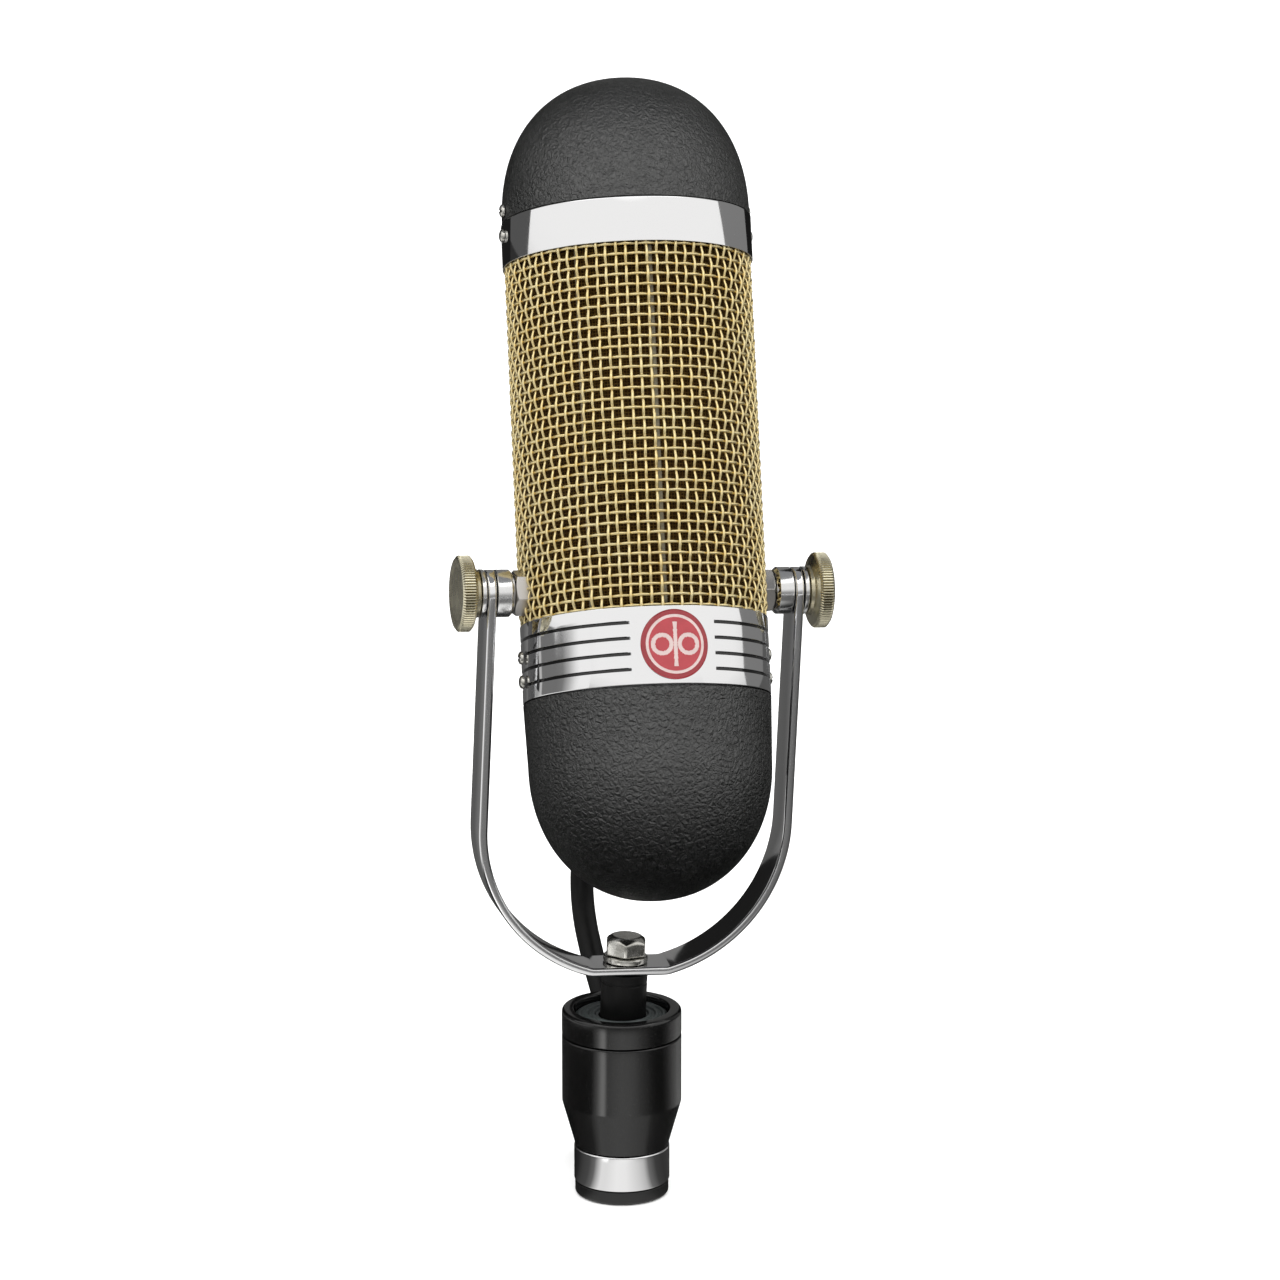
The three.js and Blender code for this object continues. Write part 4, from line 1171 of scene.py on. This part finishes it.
def make_threaded_insert():
    """5/8 inch, 27 threads to the inch, as one helix in the bore."""
    pitch = 25.4 / 27
    bore, depth, outer, high = 7.94, 20.0, 9.2, 24.0
    rows = int(depth / pitch * 6)
    inside = [(bore, depth * k / rows) for k in range(rows + 1)]
    outline = [*inside, (0, depth), (0, high + 9.6), (3.5, high + 9.6), (3.5, high), (outer, high)]
    outline += [(outer, 0.3), (outer - 0.3, 0)]

    def thread(r, z, angle):
        if r != bore or z <= 0 or z >= depth:
            return r, z
        phase = (z / pitch + angle / (2 * pi)) % 1
        fade = ease(z / 0.8)
        return r + 0.45 * fade * (1 - abs(2 * phase - 1)), z

    more = {"segments": 72, "sharp": 50, "shape": thread}
    turned("threaded_socket", outline, "brass", "coupling", "threaded_insert", **more)


make_adapter()
make_isolator()
make_threaded_insert()

# ---------------- connector

CONNECTOR_RADIUS = 9.2


def make_connector():
    r, low, top = CONNECTOR_RADIUS, CONNECTOR_LOW, CONNECTOR_TOP
    shell = rounded([
        (r - 1, low, 0.2), (r, low, 0.3), (r, top - 1.6, 1.2), (r - 1.6, top, 0.5), (3.6, top),
        (3.6, top - 2), (r - 1, top - 2),
    ])
    turned("connector_case", shell, "satin_black", "mount", "connector_shell", CONNECTOR)
    insert_low, insert_top = low + 13, top - 2.3
    disc = rounded([(0, insert_low), (r - 1.3, insert_low, 0.3), (r - 1.3, insert_top), (0, insert_top)])
    turned("connector_insulator", disc, "plastic", "mount", "connector_insert", CONNECTOR, 64)
    for k in range(3):
        angle = pi / 2 + k * 2 * pi / 3
        place = CONNECTOR @ Matrix.Translation((4.2 * cos(angle) * MM, 4.2 * sin(angle) * MM, 0))
        tip = [(1.2 * sin(a), low + 3.2 - 1.2 * cos(a)) for a in np.linspace(0, pi / 2, 7)]
        outline = [*tip, (1.2, insert_low - 0.05), (0, insert_low - 0.05)]
        stand_for(lathe(f"connector_pin_{k + 1}", outline, "brass", place, 24), "mount")
    ribs = []
    for k in range(4):
        z = top + 2.4 + k * 2.0
        radius = 6.3 - 0.55 * k
        groove = radius - 0.8
        ribs += [(radius, z, 0.2), (radius - 0.1, z + 1.1, 0.2)]
        ribs += [(groove, z + 1.2), (groove - 0.05, z + 1.8)]
    boot = rounded([
        (0, top + 0.3), (7.0, top + 0.3, 0.3), (6.9, top + 1.6, 0.4), (5.9, top + 2.0), *ribs,
        (LEAD_RADIUS + 0.55, top + BOOT_LENGTH, 0.3), (0, top + BOOT_LENGTH),
    ])
    turned("connector_relief", boot, "rubber", "mount", "connector_boot", CONNECTOR, 64)


make_connector()

# ---------------- carried-over CAD pieces


def dress_cad():
    by_node = {s["node"]: s["material_slot"] for s in frame["record"]["subparts"]}
    for name, node in frame["nodes"].items():
        node.data.materials.clear()
        node.data.materials.append(LOOKS[by_node[name]])
        smooth(node, 30)


dress_cad()

# ---------------- floor and light

GLOW = (1, 0.995, 0.98, 1)


def round_about(azimuth, distance, height):
    """A point round the microphone, azimuth degrees to the right of the camera."""
    turn = radians(azimuth) + CAMERA_AZIMUTH
    return (sin(turn) * distance, -cos(turn) * distance, height)


def studio_card(name, azimuths, heights, distance, shades, lights=False):
    """Part of an upright cylinder round the microphone, seen only in reflections, or lighting
    it too. Azimuths are degrees to the right of the camera; each height has its own shade."""
    count = 24
    points, levels = [], []
    for height, shade in zip(heights, shades):
        for k in range(count + 1):
            azimuth = azimuths[0] + (azimuths[1] - azimuths[0]) * k / count
            points.append(round_about(azimuth, distance, height))
            levels.append(shade)
    faces = grid_faces(len(heights), count + 1, False, False)
    shaded_card(name, points, faces, levels, lights)


def shaded_card(name, points, faces, levels, lights):
    """A glowing sheet with its own brightness at every point."""
    material = bpy.data.materials.new(name)
    material.use_nodes = True
    nodes, links = material.node_tree.nodes, material.node_tree.links
    nodes.clear()
    light = nodes.new("ShaderNodeEmission")
    light.inputs["Color"].default_value = GLOW
    source = nodes.new("ShaderNodeAttribute")
    source.attribute_name = "shade"
    links.new(source.outputs["Fac"], light.inputs["Strength"])
    links.new(light.outputs[0], nodes.new("ShaderNodeOutputMaterial").inputs[0])
    card = mesh_object(name, points, faces, material)
    card.visible_camera = False
    card.visible_shadow = False
    if not lights:
        card.visible_diffuse = False
        card.visible_transmission = False
    layer = card.data.attributes.new("shade", "FLOAT", "POINT")
    layer.data.foreach_set("value", levels)
    return card


def low_card(name, table, distance):
    """An upright card whose top edge and shade change with the azimuth."""
    points, levels = [], []
    for azimuth, top, shade in table:
        points += [round_about(azimuth, distance, 0), round_about(azimuth, distance, top)]
        levels += [shade, shade]
    faces = [(2 * k, 2 * k + 2, 2 * k + 3, 2 * k + 1) for k in range(len(table) - 1)]
    shaded_card(name, points, faces, levels, False)


# what the floor shows in reflections: degrees to the right of the camera, and brightness
NEAR_FLOOR = [
    (-180, 0.02), (-138, 0.008), (-110, 0.02), (-91, 0.05), (-74, 0.065), (-60, 0.14), (-50, 0.5),
    (-42, 0.8), (-31, 0.8), (-10, 0.92), (8, 0.9), (20, 0.8), (34, 0.68), (47, 0.52), (58, 0.16),
    (77, 0.05), (100, 0.035), (146, 0.05), (180, 0.02),
]
MIDDLE_FLOOR = [
    (-180, 0.03), (-126, 0.05), (-92, 0.02), (-67, 0.02), (-55, 0.08), (-45, 0.9), (-36, 2.6),
    (-32, 2.6), (-26, 0.65), (-14, 0.85), (0, 1.0), (14, 0.93), (24, 0.78), (34, 0.5), (45, 0.3),
    (56, 0.1), (67, 0.02), (79, 0.01), (92, 0.15), (107, 0.45), (126, 0.55), (150, 0.2), (180, 0.03),
]
FAR_FLOOR = [
    (-180, 0.12), (-150, 0.1), (-120, 0.3), (-100, 0.95), (-70, 0.95), (-50, 0.4), (-20, 0.2),
    (27, 0.17), (60, 0.08), (100, 0.08), (180, 0.12),
]
NEAR_EDGE, NEAR_FADE = 0.055, 0.025  # where one table's shade turns into the next one's
FAR_EDGE, FAR_FADE = 0.19, 0.05
FLOOR_RINGS = [0.0, 0.02, 0.055, 0.08, 0.12, 0.19, 0.24, 0.4, 0.7, 1.1]


def reflected_floor(height=0.0004):
    """A disc just over the floor, seen only in reflections and shaded by direction and distance."""
    count = 180
    points, shades = [], []
    for distance in FLOOR_RINGS:
        for k in range(count):
            degree = 360 * k / count - 180
            near, middle, far = (
                np.interp(degree, *zip(*table)) for table in (NEAR_FLOOR, MIDDLE_FLOOR, FAR_FLOOR)
            )
            shade = near + (middle - near) * ease((distance - NEAR_EDGE) / NEAR_FADE)
            shade += (far - shade) * ease((distance - FAR_EDGE) / FAR_FADE)
            shades.append(shade)
            points.append(round_about(degree, distance, height))
    faces = grid_faces(len(FLOOR_RINGS), count, False, True)
    return shaded_card("reflected_floor", points, faces, shades, False)


def make_floor():
    half = 6.0
    shader = Shader("floor", (0.9, 0.9, 0.9), 0.7, Specular_IOR_Level=0.2)
    mottle = shader.noise(3.0, 2.0)
    shader.vary("Base Color", mottle, (0.89, 0.89, 0.89), (0.91, 0.91, 0.905))
    corners = [(-half, -half, 0), (half, -half, 0), (half, half, 0), (-half, half, 0)]
    floor = mesh_object("floor", corners, [(0, 1, 2, 3)], shader.material)
    floor.location.z = -0.2 * MM
    return floor


FLOOR_LIGHT_SIZE, FLOOR_LIGHT_POWER = 9, 560
FLOOR_LIGHT_ELEVATION, FLOOR_LIGHT_DISTANCE = radians(88), 2.2


def light_floor(floor):
    """A light only for the floor keeps it white without lighting the head from above."""
    data = bpy.data.lights.new("floor_light", "AREA")
    data.shape = "RECTANGLE"
    data.size = data.size_y = FLOOR_LIGHT_SIZE
    data.energy = FLOOR_LIGHT_POWER
    light = bpy.data.objects.new("floor_light", data)
    bpy.context.scene.collection.objects.link(light)
    back = away_from(FLOOR_LIGHT_ELEVATION)
    light.location = CAMERA_TARGET + back * FLOOR_LIGHT_DISTANCE
    light.rotation_mode = "QUATERNION"
    light.rotation_quaternion = (-back).to_track_quat("-Z", "Y")
    light.visible_camera = False
    light.visible_glossy = False
    only_floor = bpy.data.collections.new("lit_from_above")
    only_floor.objects.link(floor)
    light.light_linking.receiver_collection = only_floor


# the dark strip beside the lower band: azimuth, top edge and brightness
LOW_LEFT = [
    (-135, 0.16, 0.03), (-116, 0.17, 0.03), (-115, 0.17, 0.5), (-112, 0.175, 0.5), (-111, 0.18, 0.17),
    (-106, 0.185, 0.17), (-91, 0.24, 0.17), (-84, 0.3, 0.2), (-77, 0.35, 0.45), (-70, 0.41, 0.8),
    (-66, 0.44, 0.93),
]


TENT_DISTANCE, BACK_DISTANCE = 1.2, 1.1
# grey and dark cards behind the microphone: azimuths, and brightness at the bottom and top
BACK_CARDS = [
    ("right_grey", (104, 145), (0.2, 0.25)),
    ("right_dark", (145, 168), (0.01, 0.01)),
    ("left_grey", (-135, -104), (0.09, 0.09)),
    ("left_dark", (-168, -135), (0.012, 0.012)),
    ("back_grey", (168, 192), (0.2, 0.2)),
]


def make_studio():
    """Floor, light and cards. The painted domes don't mirror the disc over the floor."""
    floor = make_floor()
    world = bpy.data.worlds.new("studio")
    world.use_nodes = True
    world.node_tree.nodes["Background"].inputs["Color"].default_value = (0.9, 0.92, 0.95, 1)
    world.node_tree.nodes["Background"].inputs["Strength"].default_value = 0.28
    bpy.context.scene.world = world

    light_floor(floor)
    high, high_shades = (0.6, 1.3, 1.55, 1.9, 2.3), (0.95, 0.95, 1.7, 2.6, 2.2)
    middle = (0.02, 0.25, 0.45, *high), (0.2, 0.35, 0.85, *high_shades)
    sides = (0.02, 0.2, 0.35, *high), (0.5, 0.8, 0.93, *high_shades)
    studio_card("tent_middle", (-55, 55), middle[0], TENT_DISTANCE, middle[1], lights=True)
    studio_card("tent_left", (-104, -55), sides[0], TENT_DISTANCE, sides[1], lights=True)
    studio_card("tent_right", (55, 104), sides[0], TENT_DISTANCE, sides[1], lights=True)
    for name, azimuths, shades in BACK_CARDS:
        studio_card(name, azimuths, (0.0, 1.7), BACK_DISTANCE, shades)
    low_card("left_low", LOW_LEFT, 1.0)
    floor_disc = reflected_floor()
    shiny = bpy.data.collections.new("mirrors_the_floor")
    for obj in bpy.context.scene.collection.objects:
        if obj.type == "MESH" and not obj.name.endswith("dome_shell"):
            shiny.objects.link(obj)
    floor_disc.light_linking.receiver_collection = shiny


make_studio()
bpy.context.scene.view_settings.view_transform = "Standard"
